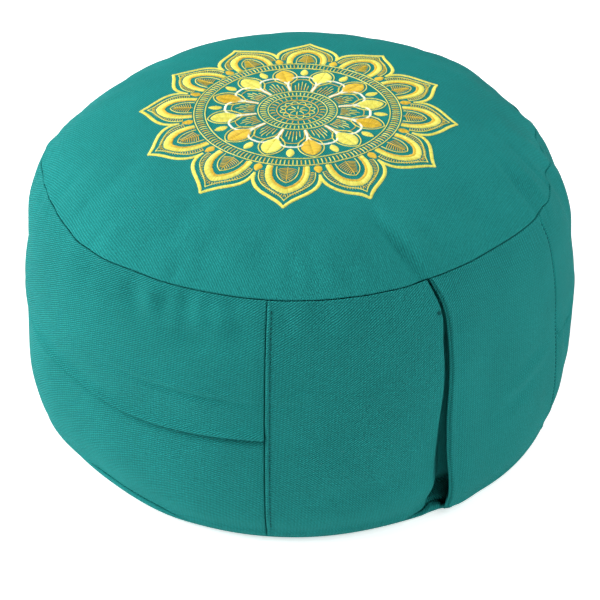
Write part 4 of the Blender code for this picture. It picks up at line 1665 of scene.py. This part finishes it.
for piece, node, size, area, sewn_on in PIECES:
    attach(piece, "root")
    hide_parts(node)
    print(node, "was cut", round(size[0], 3), "by", round(size[1], 3), "metres")
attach(stuffing, "root")
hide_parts("filled_cushion")

# %% [markdown]
# ## Floor and light
#
# White paper lies under the cushion, with six soft lamps round it. The strongest stands at the
# left, weaker ones fill from the right and from above, and the world adds no light of its own.
# The floor glows a little, as a lit paper sweep does.

# %% Floor
FLOOR_REACH = 6.0
FLOOR_GLOW = 0.62
WHITE = (1.0, 1.0, 1.0, 1.0)
PAPER = (0.86, 0.86, 0.86, 1.0)

floor_mesh = bpy.data.meshes.new("floor")
corners = [(x * FLOOR_REACH, y * FLOOR_REACH, 0.0) for x, y in ((-1, -1), (1, -1), (1, 1), (-1, 1))]
floor_mesh.from_pydata(corners, [], [(0, 1, 2, 3)])
paper = Finish("paper", 0.9, Specular_IOR_Level=0.0, Emission_Color=WHITE, Emission_Strength=FLOOR_GLOW)
paper.shader.inputs["Base Color"].default_value = PAPER
floor_mesh.materials.append(paper.material)
floor = bpy.data.objects.new("floor", floor_mesh)
bpy.context.scene.collection.objects.link(floor)
print("floor", 2 * FLOOR_REACH, "metres across")

# %% Lights
Lamp = namedtuple("Lamp", "name place power")
LAMPS = (
    Lamp("key", (-1.6, 0.0, 0.9), 39.5),
    Lamp("high_left", (-1.1, -0.7, 1.7), 3.4),
    Lamp("over", (0.0, 0.2, 2.0), 12.5),
    Lamp("low_left", (-1.9, -0.3, 0.5), 1.8),
    Lamp("right", (1.6, 0.0, 0.9), 9.6),
    Lamp("high_right", (0.9, -0.8, 1.7), 14.6),
)
LAMP_SIZE = 1.2
LAMPS_AIM_AT = Vector((0.0, 0.0, 0.1))
for lamp in LAMPS:
    light = bpy.data.lights.new(lamp.name, "AREA")
    light.energy, light.size = lamp.power, LAMP_SIZE
    holder = bpy.data.objects.new(lamp.name, light)
    holder.location = lamp.place
    aim = LAMPS_AIM_AT - holder.location
    holder.rotation_euler = aim.to_track_quat("-Z", "Y").to_euler()
    bpy.context.scene.collection.objects.link(holder)
world = bpy.data.worlds.new("dark studio")
world.use_nodes = True
world.node_tree.nodes["Background"].inputs["Color"].default_value = WHITE
world.node_tree.nodes["Background"].inputs["Strength"].default_value = 0.0
bpy.context.scene.world = world
bpy.context.scene.view_settings.view_transform = "Standard"
print(len(LAMPS), "lamps of", sum(lamp.power for lamp in LAMPS), "watts together")
